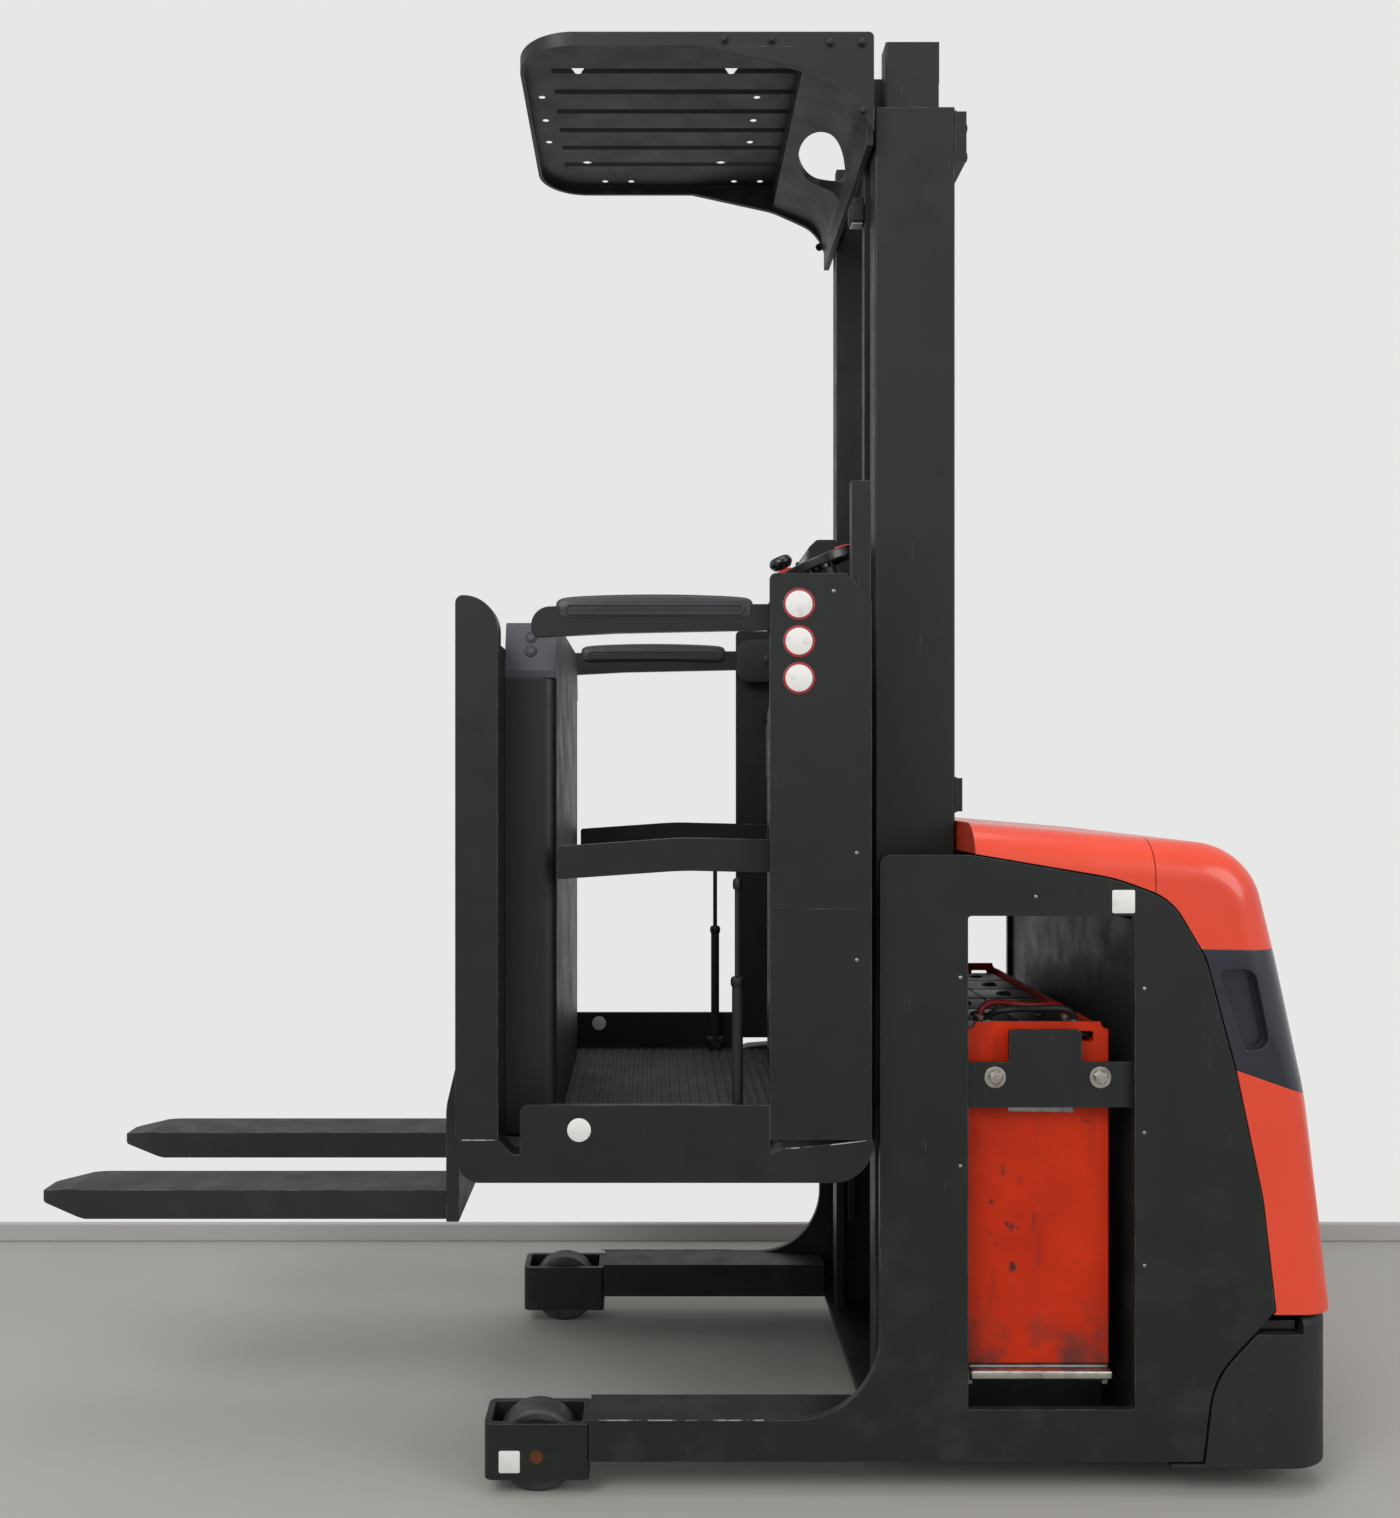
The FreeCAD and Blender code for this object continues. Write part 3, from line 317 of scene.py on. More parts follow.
def moulded(name, colour, rough, grain, depth, scuff, coat=0.0):
    """Moulded plastic or rubber: fine grain, dull scuffs and softened edges."""
    s = Shade(name)
    tone = s.blend(s.cloud(4, 6, 0.35, 0.7), rgb(colour, 0.85), rgb(colour, 1.2))
    drag = s.noise(1.0, 4, s.stretch((60, 60, 18), (0.3, 0.2, 0)))
    tone = s.blend(s.times(s.span(drag, 0.62, 0.74), scuff), tone, rgb(colour, 3.5))
    soft = s.rounded(0.0035)
    tone = s.blend(s.times(s.rubbed(soft), scuff * 0.8), tone, rgb(colour, 3.0))
    gloss = s.cloud(10, 5, 0.3, 0.7, rough - 0.08, rough + 0.1)
    bump = s.bump(s.cells(grain), depth, 0.0005, soft)
    return s.finish(tone, gloss, bump, Coat_Weight=coat, Coat_Roughness=0.08)


def bare_metal(name, colour, rough, brushed, rust=0.0):
    """Bare metal: brushed along one way, smudged, with rust specks where asked."""
    s = Shade(name)
    lines = s.noise(1.0, 3, s.stretch(brushed))
    tone = s.blend(s.span(lines, 0.3, 0.7), rgb(colour, 0.8), rgb(colour, 1.1))
    if rust:
        tone = s.blend(s.times(s.cloud(45, 8, 0.52, 0.66), rust), tone, (0.16, 0.06, 0.025, 1.0))
    gloss = s.cloud(24, 5, 0.3, 0.7, rough - 0.08, rough + 0.15)
    return s.finish(tone, gloss, s.bump(lines, 0.12, 0.0003, s.rounded(0.0012)), Metallic=1.0)


def leatherette(name, colour):
    """Stitched vinyl: pebbled grain with soft creases and a faint shine."""
    s = Shade(name)
    crease = s.noise(1.0, 6, s.stretch((30, 110, 110)))
    both = s.maths("ADD", s.times(s.cells(650.0), 0.5), s.times(crease, 1.2))
    tone = s.blend(s.cloud(12, 6, 0.35, 0.7), rgb(colour, 0.75), rgb(colour, 1.35))
    return s.finish(tone, s.cloud(30, 4, 0.3, 0.7, 0.34, 0.5), s.bump(both, 0.35, 0.0009), Sheen_Weight=0.12)


def wheel_rubber(name, colour, hub, centre, radius):
    """Wheel about Y on its own centre: tread outside the radius, hub inside it."""
    s = Shade(name)
    flat = s.vector("MULTIPLY", s.vector("SUBTRACT", s.place, centre).outputs[0], (1, 0, 1))
    reach = s.vector("LENGTH", flat.outputs[0]).outputs["Value"]
    tread = s.blend(s.cloud(22, 7, 0.4, 0.7), rgb(colour, 0.7), rgb(colour, 1.7))
    metal = s.blend(s.cloud(30, 7, 0.45, 0.65), rgb(hub), (0.10, 0.05, 0.03, 1.0))
    outside = s.span(reach, radius - 0.0006, radius + 0.0006)
    bump = s.bump(s.noise(260, 4), 0.2, 0.0007, s.rounded(0.002))
    return s.finish(s.blend(outside, metal, tread), s.cloud(40, 4, 0.3, 0.7, 0.45, 0.7), bump)


def plain_print(name, colour, rough=0.4):
    """Printed foil or enamel, slightly faded and speckled with dirt."""
    s = Shade(name)
    tone = s.blend(s.cloud(60, 8, 0.56, 0.74, 0.0, 0.55), rgb(colour), rgb(colour, 0.55))
    return s.finish(tone, rough, s.bump(s.noise(300, 3), 0.08, 0.0003))


# Mesh helpers

def smooth_by_angle(mesh, degrees=32):
    """Sharp edges where two faces meet at more than the angle."""
    work = bmesh.new()
    work.from_mesh(mesh)
    for edge in work.edges:
        if len(edge.link_faces) == 2:
            edge.smooth = edge.calc_face_angle(0) < math.radians(degrees)
    work.to_mesh(mesh)
    work.free()
    return mesh


def merged(meshes):
    """One bmesh from several meshes, which are removed."""
    work = bmesh.new()
    for mesh in meshes:
        work.from_mesh(mesh)
        bpy.data.meshes.remove(mesh)
    return work


def loose_mesh(name, work):
    """A plain mesh from a bmesh, which is freed."""
    mesh = bpy.data.meshes.new(name)
    work.to_mesh(mesh)
    work.free()
    return mesh


def joined(parts):
    """One bmesh from several, which are freed."""
    return merged([loose_mesh("part", part) for part in parts])


def as_mesh(name, work):
    """A mesh from a bmesh, its doubles merged and its normals facing outwards."""
    bmesh.ops.remove_doubles(work, verts=work.verts, dist=1e-6)
    bmesh.ops.recalc_face_normals(work, faces=work.faces)
    return smooth_by_angle(loose_mesh(name, work))


def new_piece(name, mesh, look, body):
    """A finished piece at the origin that rides on its body."""
    piece = bpy.data.objects.new(name, mesh)
    bpy.context.scene.collection.objects.link(piece)
    mesh.materials.clear()
    mesh.materials.append(finish(look))
    for face in mesh.polygons:
        face.use_smooth = True
    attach(piece, body)
    return piece


def fitting(name, parts, look, body):
    """A finished piece made of one or more closed shapes."""
    return new_piece(name, as_mesh(name, joined(parts)), look, body)


def around(count, radius):
    """Even steps round a circle."""
    turns = [math.tau * i / count for i in range(count)]
    return [(radius * math.cos(a), radius * math.sin(a)) for a in turns]


def soft_block(low, high, round_by=0.003, segments=3):
    """A block between two corners with rounded edges."""
    work = bmesh.new()
    bmesh.ops.create_cube(work, size=1)
    low, high = Vector(low), Vector(high)
    size = high - low
    for vert in work.verts:
        vert.co = (low + high) / 2 + Vector(c * s for c, s in zip(vert.co, size))
    bmesh.ops.bevel(work, geom=work.edges[:], offset=min(round_by, min(size) * 0.45), segments=segments,
                    profile=0.5, affect="EDGES")
    return work


def side_block(side, x_span, y_span, z_span, round_by):
    """A rounded block on one side of the truck, its Y span given as distances from the middle."""
    low_y, high_y = sorted(side * y for y in y_span)
    return soft_block((x_span[0], low_y, z_span[0]), (x_span[1], high_y, z_span[1]), round_by)


def turned(profile, centre, axis, steps=40):
    """A closed shape of revolution from (radius, height) rows along an axis."""
    work = bmesh.new()
    rings = []
    for radius, height in profile:
        spots = around(steps, radius) if radius > 0 else [(0, 0)]
        rings.append([work.verts.new((u, v, height)) for u, v in spots])
    for lower, upper in zip(rings, rings[1:]):
        for i in range(steps):
            j = (i + 1) % steps
            corners = list(dict.fromkeys((lower[i % len(lower)], lower[j % len(lower)],
                                          upper[j % len(upper)], upper[i % len(upper)])))
            if len(corners) > 2:
                work.faces.new(corners)
    turn = Vector(axis).to_track_quat("Z", "Y").to_matrix().to_4x4()
    bmesh.ops.transform(work, matrix=Matrix.Translation(centre) @ turn, verts=work.verts)
    return work


def button(radius, base, shoulder, crown_radius, crown, centre, axis=UP, steps=28):
    """A round button: a straight side from its base to its shoulder, then a bevel up to its crown."""
    profile = ((0, base), (radius, base), (radius, shoulder), (crown_radius, crown), (0, crown))
    return turned(profile, centre, axis, steps)


def plate(outline, start, end, round_by=0.0002):
    """A flat upright plate from (x, z) outline points, between two depths."""
    work = bmesh.new()
    first = [work.verts.new((x, start, z)) for x, z in outline]
    last = [work.verts.new((x, end, z)) for x, z in outline]
    work.faces.new(first)
    work.faces.new(last[::-1])
    for i in range(len(outline)):
        j = (i + 1) % len(outline)
        work.faces.new((first[i], last[i], last[j], first[j]))
    bmesh.ops.recalc_face_normals(work, faces=work.faces)
    rims = [e for e in work.edges if len({v in first for v in e.verts}) == 1]
    bmesh.ops.bevel(work, geom=rims, offset=min(round_by, abs(end - start) * 0.45), segments=2, profile=0.5,
                    affect="EDGES")
    return work


def foil(outline, side, face, way=1):
    """A thin sign that stands on a face of one side, outwards or, with way -1, inwards."""
    return plate(outline, side * face, side * (face + way * FOIL))


def rounded_outline(x0, x1, z0, z1, radius, steps=6):
    """Outline points of a rectangle with round corners."""
    points = []
    for cx, cz, start in ((x1 - radius, z1 - radius, 0), (x0 + radius, z1 - radius, 90),
                          (x0 + radius, z0 + radius, 180), (x1 - radius, z0 + radius, 270)):
        for i in range(steps + 1):
            a = math.radians(start + 90 * i / steps)
            points.append((cx + radius * math.cos(a), cz + radius * math.sin(a)))
    return points


def disc_outline(x, z, radius):
    """Outline points of a disc."""
    return [(x + u, z + v) for u, v in around(48, radius)]


def tube_mesh(points, radius, order=3, resolution=10):
    """A capped tube mesh along a smooth line through control points."""
    curve = bpy.data.curves.new("tube", "CURVE")
    curve.dimensions = "3D"
    curve.bevel_depth = radius
    curve.bevel_resolution = 4
    curve.use_fill_caps = True
    spline = curve.splines.new("NURBS")
    spline.points.add(len(points) - 1)
    for point, place in zip(spline.points, points):
        point.co = (*place, 1)
    spline.order_u = order
    spline.use_endpoint_u = True
    spline.resolution_u = resolution
    holder = bpy.data.objects.new("tube", curve)
    mesh = bpy.data.meshes.new_from_object(holder)
    bpy.data.objects.remove(holder)
    bpy.data.curves.remove(curve)
    return mesh


# Geometry Nodes trees for what repeats

def repeat_tree(name, sizes):
    """A tree with a geometry input and named size inputs."""
    tree = bpy.data.node_groups.new(name, "GeometryNodeTree")
    tree.is_modifier = True
    tree.interface.new_socket("Geometry", in_out="INPUT", socket_type="NodeSocketGeometry")
    for label, value in sizes:
        socket = tree.interface.new_socket(label, in_out="INPUT", socket_type="NodeSocketFloat")
        socket.default_value = value
        socket.subtype = "DISTANCE"
    tree.interface.new_socket("Material", in_out="INPUT", socket_type="NodeSocketMaterial")
    tree.interface.new_socket("Geometry", in_out="OUTPUT", socket_type="NodeSocketGeometry")
    return tree, tree.nodes.new("NodeGroupInput").outputs


def node_out(tree, kind, links=None, **settings):
    """The first output of a new node."""
    return add_node(tree, kind, links, **settings).outputs[0]


def close_tree(tree, given, shape):
    """The given points carry the shape, turned along their stored axis and rolled at random."""
    axis = node_out(tree, "GeometryNodeInputNamedAttribute", data_type="FLOAT_VECTOR", Name="axis")
    size = node_out(tree, "GeometryNodeInputNamedAttribute", data_type="FLOAT", Name="size")
    turn = node_out(tree, "FunctionNodeAlignRotationToVector", {"Vector": axis}, axis="Z")
    spin = add_node(tree, "FunctionNodeRandomValue", data_type="FLOAT", Seed=7)
    spin.inputs[3].default_value = 6.28
    rolled = node_out(tree, "FunctionNodeAxisAngleToRotation", {"Angle": spin.outputs[1]}, Axis=UP)
    both = node_out(tree, "FunctionNodeRotateRotation", {0: turn, 1: rolled}, rotation_space="LOCAL")
    placed = node_out(tree, "GeometryNodeInstanceOnPoints",
                      {"Points": given["Geometry"], "Instance": shape, "Rotation": both, "Scale": size})
    real = node_out(tree, "GeometryNodeRealizeInstances", {0: placed})
    painted = node_out(tree, "GeometryNodeSetMaterial", {0: real, "Material": given["Material"]})
    tree.links.new(painted, tree.nodes.new("NodeGroupOutput").inputs[0])
    return tree


def hex_bolt_tree():
    """A washer, a six-sided head and a round crown, repeated on points."""
    tree, given = repeat_tree("hex_bolts", (("Head radius", 0.0095), ("Head height", 0.0075),
                                            ("Washer radius", 0.0145), ("Washer height", 0.002)))
    head = node_out(tree, "GeometryNodeMeshCylinder",
                    {"Radius": given["Head radius"], "Depth": given["Head height"]}, Vertices=6)
    crown = node_out(tree, "GeometryNodeMeshCone", {"Radius Bottom": given["Head radius"]}, Vertices=18,
                     Radius_Top=0.004, Depth=0.0016)
    washer = node_out(tree, "GeometryNodeMeshCylinder",
                      {"Radius": given["Washer radius"], "Depth": given["Washer height"]}, Vertices=28)
    half = add_node(tree, "ShaderNodeMath", {0: given["Head height"]}, operation="MULTIPLY")
    half.inputs[1].default_value = 0.5
    lifts = []
    for shape, source in ((head, half.outputs[0]), (crown, given["Head height"])):
        offset = node_out(tree, "ShaderNodeCombineXYZ", {"Z": source})
        lifts.append(node_out(tree, "GeometryNodeTransform", {0: shape, "Translation": offset}))
    group = add_node(tree, "GeometryNodeJoinGeometry")
    for source in lifts + [washer]:
        tree.links.new(source, group.inputs[0])
    return close_tree(tree, given, group.outputs[0])


def dome_tree():
    """Low domed rivets or caps, repeated on points."""
    tree, given = repeat_tree("domed_rivets", (("Rivet radius", 0.005),))
    ball = node_out(tree, "GeometryNodeMeshUVSphere", {"Radius": given["Rivet radius"]}, Segments=16,
                    Rings=8)
    flat = node_out(tree, "GeometryNodeTransform", {0: ball}, Scale=(1, 1, 0.45))
    return close_tree(tree, given, flat)


def stitch_tree():
    """Short thread stitches along a seam line."""
    tree, given = repeat_tree("stitches", (("Stitch length", 0.0042), ("Thread radius", 0.0006)))
    line = node_out(tree, "GeometryNodeMeshCylinder",
                    {"Radius": given["Thread radius"], "Depth": given["Stitch length"]}, Vertices=6)
    return close_tree(tree, given, line)


def repeat_on(name, tree, rows, look, body, slot="machine_black", **sizes):
    """A piece made by a tree on points given as (place, axis, size)."""
    mesh = bpy.data.meshes.new(name)
    mesh.from_pydata([row[0] for row in rows], [], [])
    mesh.attributes.new("axis", "FLOAT_VECTOR", "POINT")
    mesh.attributes.new("size", "FLOAT", "POINT")
    mesh.attributes["axis"].data.foreach_set("vector", [value for row in rows for value in row[1]])
    mesh.attributes["size"].data.foreach_set("value", [row[2] for row in rows])
    holder = bpy.data.objects.new(name, mesh)
    bpy.context.scene.collection.objects.link(holder)
    modifier = holder.modifiers.new("repeat", "NODES")
    modifier.node_group = tree
    values = {"material": finish(look), **sizes}
    for item in tree.interface.items_tree:
        label = item.name.replace(" ", "_").lower()
        if item.in_out == "INPUT" and label in values:
            modifier[item.identifier] = values[label]
    bpy.context.view_layer.update()
    result = bpy.data.meshes.new_from_object(holder.evaluated_get(bpy.context.evaluated_depsgraph_get()))
    bpy.data.objects.remove(holder)
    bpy.data.meshes.remove(mesh)
    for attribute in ("axis", "size"):
        if attribute in result.attributes:
            result.attributes.remove(result.attributes[attribute])
    return new_piece(name, smooth_by_angle(result), look, body)


# Finishes, made once by name: maker, colour or the panel value that holds it, and the maker's settings

PAINTS = {}
FINISHES = {
    "frame_paint": (painted_steel, "frame", 0.46, 0.55),
    "gate_paint": (painted_steel, "gate", 0.42, 0.6),
    "fork_paint": (painted_steel, "fork", 0.5, 0.85, (0.26, 0.25, 0.24)),
    "hood_paint": (painted_steel, "hood", 0.30, 0.22, (0.9, 0.55, 0.45), 0.35),
    "battery_paint": (battery_steel, "battery"),
    "machine_black": (painted_steel, (0.016, 0.016, 0.016), 0.6, 0.4),
    "worn_edge": (worn_edge, "frame", (0.30, 0.31, 0.30)),
    "grip_band": (moulded, (0.012, 0.015, 0.024), 0.26, 500.0, 0.06, 0.12, 0.4),
    "bumper": (moulded, (0.0062, 0.0068, 0.0080), 0.55, 420.0, 0.3, 0.6),
    "console": (moulded, (0.0035, 0.0036, 0.0040), 0.46, 700.0, 0.3, 0.16),
    "control_face": (moulded, (0.036, 0.040, 0.050), 0.48, 800.0, 0.2, 0.2),
    "knob": (moulded, (0.008, 0.008, 0.009), 0.28, 300.0, 0.05, 0.1, 0.2),
    "red_cap": (moulded, (0.55, 0.02, 0.015), 0.35, 400.0, 0.05, 0.1),
    "floor_mat": (moulded, (0.030, 0.030, 0.029), 0.72, 380.0, 0.5, 0.5),
    "hose": (moulded, (0.010, 0.010, 0.011), 0.55, 900.0, 0.2, 0.2),
    "copper_lead": (moulded, (0.28, 0.015, 0.012), 0.45, 700.0, 0.1, 0.15),
    "vinyl": (leatherette, (0.013, 0.0145, 0.0155)),
    "steel": (bare_metal, (0.52, 0.50, 0.46), 0.32, (60, 60, 60), 0.35),
    "zinc": (bare_metal, (0.34, 0.34, 0.34), 0.45, (50, 50, 50), 0.2),
    "rod": (bare_metal, (0.75, 0.76, 0.78), 0.10, (300, 300, 8)),
    "black_bolt": (bare_metal, (0.045, 0.045, 0.047), 0.5, (60, 60, 60), 0.15),
    "rust": (bare_metal, (0.20, 0.08, 0.04), 0.75, (60, 60, 60), 0.9),
    "thread": (plain_print, (0.085, 0.085, 0.088), 0.6),
    "sign_white": (plain_print, (0.72, 0.70, 0.67)),
    "sign_red": (plain_print, (0.30, 0.02, 0.02)),
    "screen": (plain_print, (0.01, 0.012, 0.015), 0.08),
    "lamp_lens": (plain_print, (0.35, 0.36, 0.37), 0.2),
}


def finish(name):
    """The material of that name, made on first use."""
    if name not in PAINTS:
        maker, colour, *settings = FINISHES[name]
        if isinstance(colour, str):
            colour = getattr(bpy.context.scene.picker_paint, colour)
        PAINTS[name] = maker(name, colour, *settings)
    return PAINTS[name]


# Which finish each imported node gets
NODE_FINISH = {
    "frame_paint": ("chassis_side_left", "chassis_side_right", "base_frame", "mast_outer", "mast_inner",
                    "carriage", "platform_frame", "side_panels", "load_end", "guard_roof", "guard_frame"),
    "gate_paint": ("battery_lock_left", "battery_lock_right", "gate_bar_left", "gate_bar_right",
                   "gate_rail_left", "gate_rail_right", "steering_column"),
    "fork_paint": ("fork_plate", "forks"),
    "hood_paint": ("hood_front", "hood_rear"),
    "battery_paint": ("battery",),
    "grip_band": ("hood_grip_band",),
    "bumper": ("bumper",),
    "console": ("load_console", "mast_console", "display_box"),
    "control_face": ("console_cap",),
    "knob": ("steering_wheel",),
    "machine_black": ("lift_cylinders", "drive_motor", "pump_unit", "drive_unit", "castor_fork",
                      "gate_struts"),
    "zinc": ("battery_tray",),
    "rod": ("lift_rods",),
    "floor_mat": ("platform_floor",),
}

# Tread radius and hub shade of each wheel node
WHEELS = {
    "load_wheel_left": (0.058, 0.10),
    "load_wheel_right": (0.058, 0.10),
    "drive_wheel": (0.090, 0.05),
    "castor_wheel": (0.048, 0.12),
}


class PickerPaint(bpy.types.PropertyGroup):
    """Paint colours of the truck."""
    frame: bpy.props.FloatVectorProperty(
        name="Frame", description="Dark grey-green paint of chassis, mast and cabin", subtype="COLOR",
        size=3, min=0, max=1, default=(0.0088, 0.0112, 0.0100))
    gate: bpy.props.FloatVectorProperty(
        name="Gates", description="Satin paint of the side gates and lock straps", subtype="COLOR", size=3,
        min=0, max=1, default=(0.0095, 0.0115, 0.0108))
    fork: bpy.props.FloatVectorProperty(
        name="Forks", description="Worn dark paint of the forks", subtype="COLOR", size=3,
        min=0, max=1, default=(0.0135, 0.0150, 0.0145))
    hood: bpy.props.FloatVectorProperty(
        name="Hood", description="Orange-red paint of the drive unit's hood", subtype="COLOR", size=3,
        min=0, max=1, default=(0.72, 0.058, 0.022))
    battery: bpy.props.FloatVectorProperty(
        name="Battery", description="Red paint of the battery case", subtype="COLOR", size=3,
        min=0, max=1, default=(0.52, 0.024, 0.0020))


class PickerSizes(bpy.types.PropertyGroup):
    """Sizes of the added trim."""
    sign_radius: bpy.props.FloatProperty(
        name="Sign radius", description="Radius of the blank round signs", default=0.0285, min=0.01,
        max=0.05, unit="LENGTH")
    stitch_pitch: bpy.props.FloatProperty(
        name="Stitch pitch", description="Distance from stitch to stitch on the pads", default=0.0058,
        min=0.003, max=0.02, unit="LENGTH")
    hose_radius: bpy.props.FloatProperty(
        name="Hose radius", description="Radius of the hydraulic hoses", default=0.0085, min=0.003, max=0.02,
        unit="LENGTH")


class PICKER_OT_paint(bpy.types.Operator):
    """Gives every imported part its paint, plastic, metal or rubber"""
    bl_idname = "picker.paint"
    bl_label = "Paint the truck"

    def execute(self, context):
        looks = {node: finish(name) for name, nodes in NODE_FINISH.items() for node in nodes}
        for node, (radius, shade) in WHEELS.items():
            looks[node] = wheel_rubber("tread_" + node, (0.035, 0.033, 0.030), (shade, shade, shade),
                                       anchor(node + "_roll"), radius)
        for node, material in looks.items():
            slots = frame["nodes"][node].data.materials
            slots.clear()
            slots.append(material)
        return {"FINISHED"}


def arch(x):
    """How far along its arch a place on the arm pad is: 0 at the middle and 1 near the ends."""
    return ((x - PAD_MIDDLE_X) / PAD_HALF_LENGTH) ** 2


def pad_ring(x, side, scale):
    """One cross-section of an arm pad, as (y, z) points round the bar."""
    top = PAD_HIGH.z - 0.0015 - PAD_TOP_DROP * arch(x)
    base = PAD_LOW.z + 0.003 - PAD_BASE_DROP * arch(x)
    flank = [(0.45, 0.985), (0.80, 0.88), (1.0, 0.62), (1.04, 0.36), (0.985, 0.20), (1.0, 0.06),
             (0.93, -0.06), (0.62, -0.10)]
    outline = [(0.0, 1.0)] + flank + [(0.0, -0.10)] + [(-u, v) for u, v in reversed(flank)]
    return [(side * PAD_Y + u * scale * PAD_HALF_WIDTH, (base + top) / 2 + (v - 0.5) * scale * (top - base))
            for u, v in outline]


def arm_pad(side):
    """The soft body of one arm pad, with rounded ends."""
    front = [(-0.2095, 0.30), (-0.2075, 0.62), (-0.202, 0.84), (PAD_BODY_START, 0.96)]
    body = [(PAD_BODY_START + PAD_BODY_LENGTH * i / PAD_BODY_STEPS, 1.0) for i in range(1, PAD_BODY_STEPS)]
    rear = [(PAD_BODY_START + PAD_BODY_LENGTH, 0.97), (0.139, 0.86), (0.1435, 0.64), (0.1455, 0.30)]
    stations = front + body + rear
    work = bmesh.new()
    rings = [[work.verts.new((x, y, z)) for y, z in pad_ring(x, side, scale)] for x, scale in stations]
    for first, last in zip(rings, rings[1:]):
        for i in range(len(first)):
            j = (i + 1) % len(first)
            work.faces.new((first[i], last[i], last[j], first[j]))
    work.faces.new(rings[0][::-1])
    work.faces.new(rings[-1])
    return work


def pad_seam(y):
    """The closed line of a pad's seam on the face at y."""
    line = rounded_outline(*SEAM_X, *SEAM_Z, 0.007, 5)
    points = [(x, y, z - PAD_TOP_DROP * arch(x)) for x, z in line]
    return points + points[:1]


def stitch_rows(seam, out, pitch):
    """Places and directions of the stitches on a seam, raised by the offset out."""
    rows = []
    path = [Vector(point) for point in seam]
    for first, last in zip(path, path[1:]):
        run = last - first
        count = max(1, int(run.length / pitch))
        rows += [(first.lerp(last, (i + 0.5) / count) + out, run.normalized(), 1.0) for i in range(count)]
    return rows


class PICKER_OT_pads(bpy.types.Operator):
    """Builds the stitched arm pads of the side gates"""
    bl_idname = "picker.pads"
    bl_label = "Arm pads"

    def execute(self, context):
        pitch = context.scene.picker_sizes.stitch_pitch
        stitches = stitch_tree()
        for side, name in SIDES:
            bar = "gate_bar_" + name
            piece = new_piece("arm_pad_" + name, as_mesh("arm_pad_" + name, arm_pad(side)), "vinyl", bar)
            modifier = piece.modifiers.new("soft", "SUBSURF")
            modifier.levels = modifier.render_levels = 2
            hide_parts("gate_pad_" + name)
            piping, rows = [], []
            for way in (-1, 1):
                seam = pad_seam(side * PAD_Y + way * SEAM_OUT)
                piping.append(tube_mesh(seam, 0.0017, 2, 3))
                rows += stitch_rows(seam, Vector((0, way * 0.0006, 0)), pitch)
            new_piece("pad_piping_" + name, loose_mesh("pad_piping_" + name, merged(piping)), "vinyl", bar)
            repeat_on("pad_stitches_" + name, stitches, rows, "thread", bar, "black_rubber")
        return {"FINISHED"}


class PICKER_OT_bolts(bpy.types.Operator):
    """Sets bolts and rivets on the lock straps, chassis, mast and cabin"""
    bl_idname = "picker.bolts"
    bl_label = "Bolts and rivets"

    def execute(self, context):
        bolts, domes = hex_bolt_tree(), dome_tree()
        straps, guard, rivets, cabin_rivets = [], [], [], []
        for side in (NEAR, FAR):
            out = Vector((0, side, 0))
            straps += [((x, side * (STRAP_FACE + 0.0012), 0.757), out, 1.0) for x in (0.586, 0.777)]
            rivets += [((x, side * (CHASSIS_FACE + RIVET_SEAT), z), out, 0.7) for x, z in
                       ((0.52, 0.60), (0.52, 0.94), (0.852, 0.42), (0.852, 0.66), (0.852, 0.92),
                        (0.656, 1.086))]
            cabin_rivets += [((x, side * (CABIN_FACE + RIVET_SEAT), z), out, 0.7) for x, z in
                             ((0.286, 1.632), (0.327, 1.167), (0.327, 0.977))]
            guard += [((x, side * (GUARD_FACE + 0.0006), z), out, 0.62) for x, z in
                      ((0.10, 2.694), (0.19, 2.694), (0.30, 2.688), (0.36, 2.688), (0.362, 2.56))]
            guard.append(((0.40, side * 0.2156, 1.235), out, 0.8))
        mast = [((MAST_BACK + 0.0005, y, z), REARWARD, 0.9) for y in (-0.27, 0.27) for z in (2.50, 2.555)]
        forks = [((PLATE_BACK - 0.0008, y, 0.72), -REARWARD, 0.9) for y in (-0.22, -0.08, 0.08, 0.22)]
        shelf = [((0.895, y, SHELF_TOP + 0.0012), UP, 0.8) for y in (-0.36, -0.28, 0.37, 0.41)]
        motor = [((DRIVE_AXLE.x + u, DRIVE_AXLE.y + v, MOTOR_TOP + 0.0012), UP, 0.7)
                 for u, v in around(6, 0.055)]
        repeat_on("lock_strap_bolts", bolts, straps, "steel", "chassis", head_radius=0.0115,
                  washer_radius=0.0195, washer_height=0.003)
        repeat_on("chassis_bolts", bolts, mast + shelf + motor, "black_bolt", "chassis")
        repeat_on("chassis_rivets", domes, rivets, "zinc", "chassis")
        repeat_on("cabin_bolts", bolts, guard + forks, "black_bolt", "cabin")
        repeat_on("cabin_rivets", domes, cabin_rivets, "zinc", "cabin")
        return {"FINISHED"}


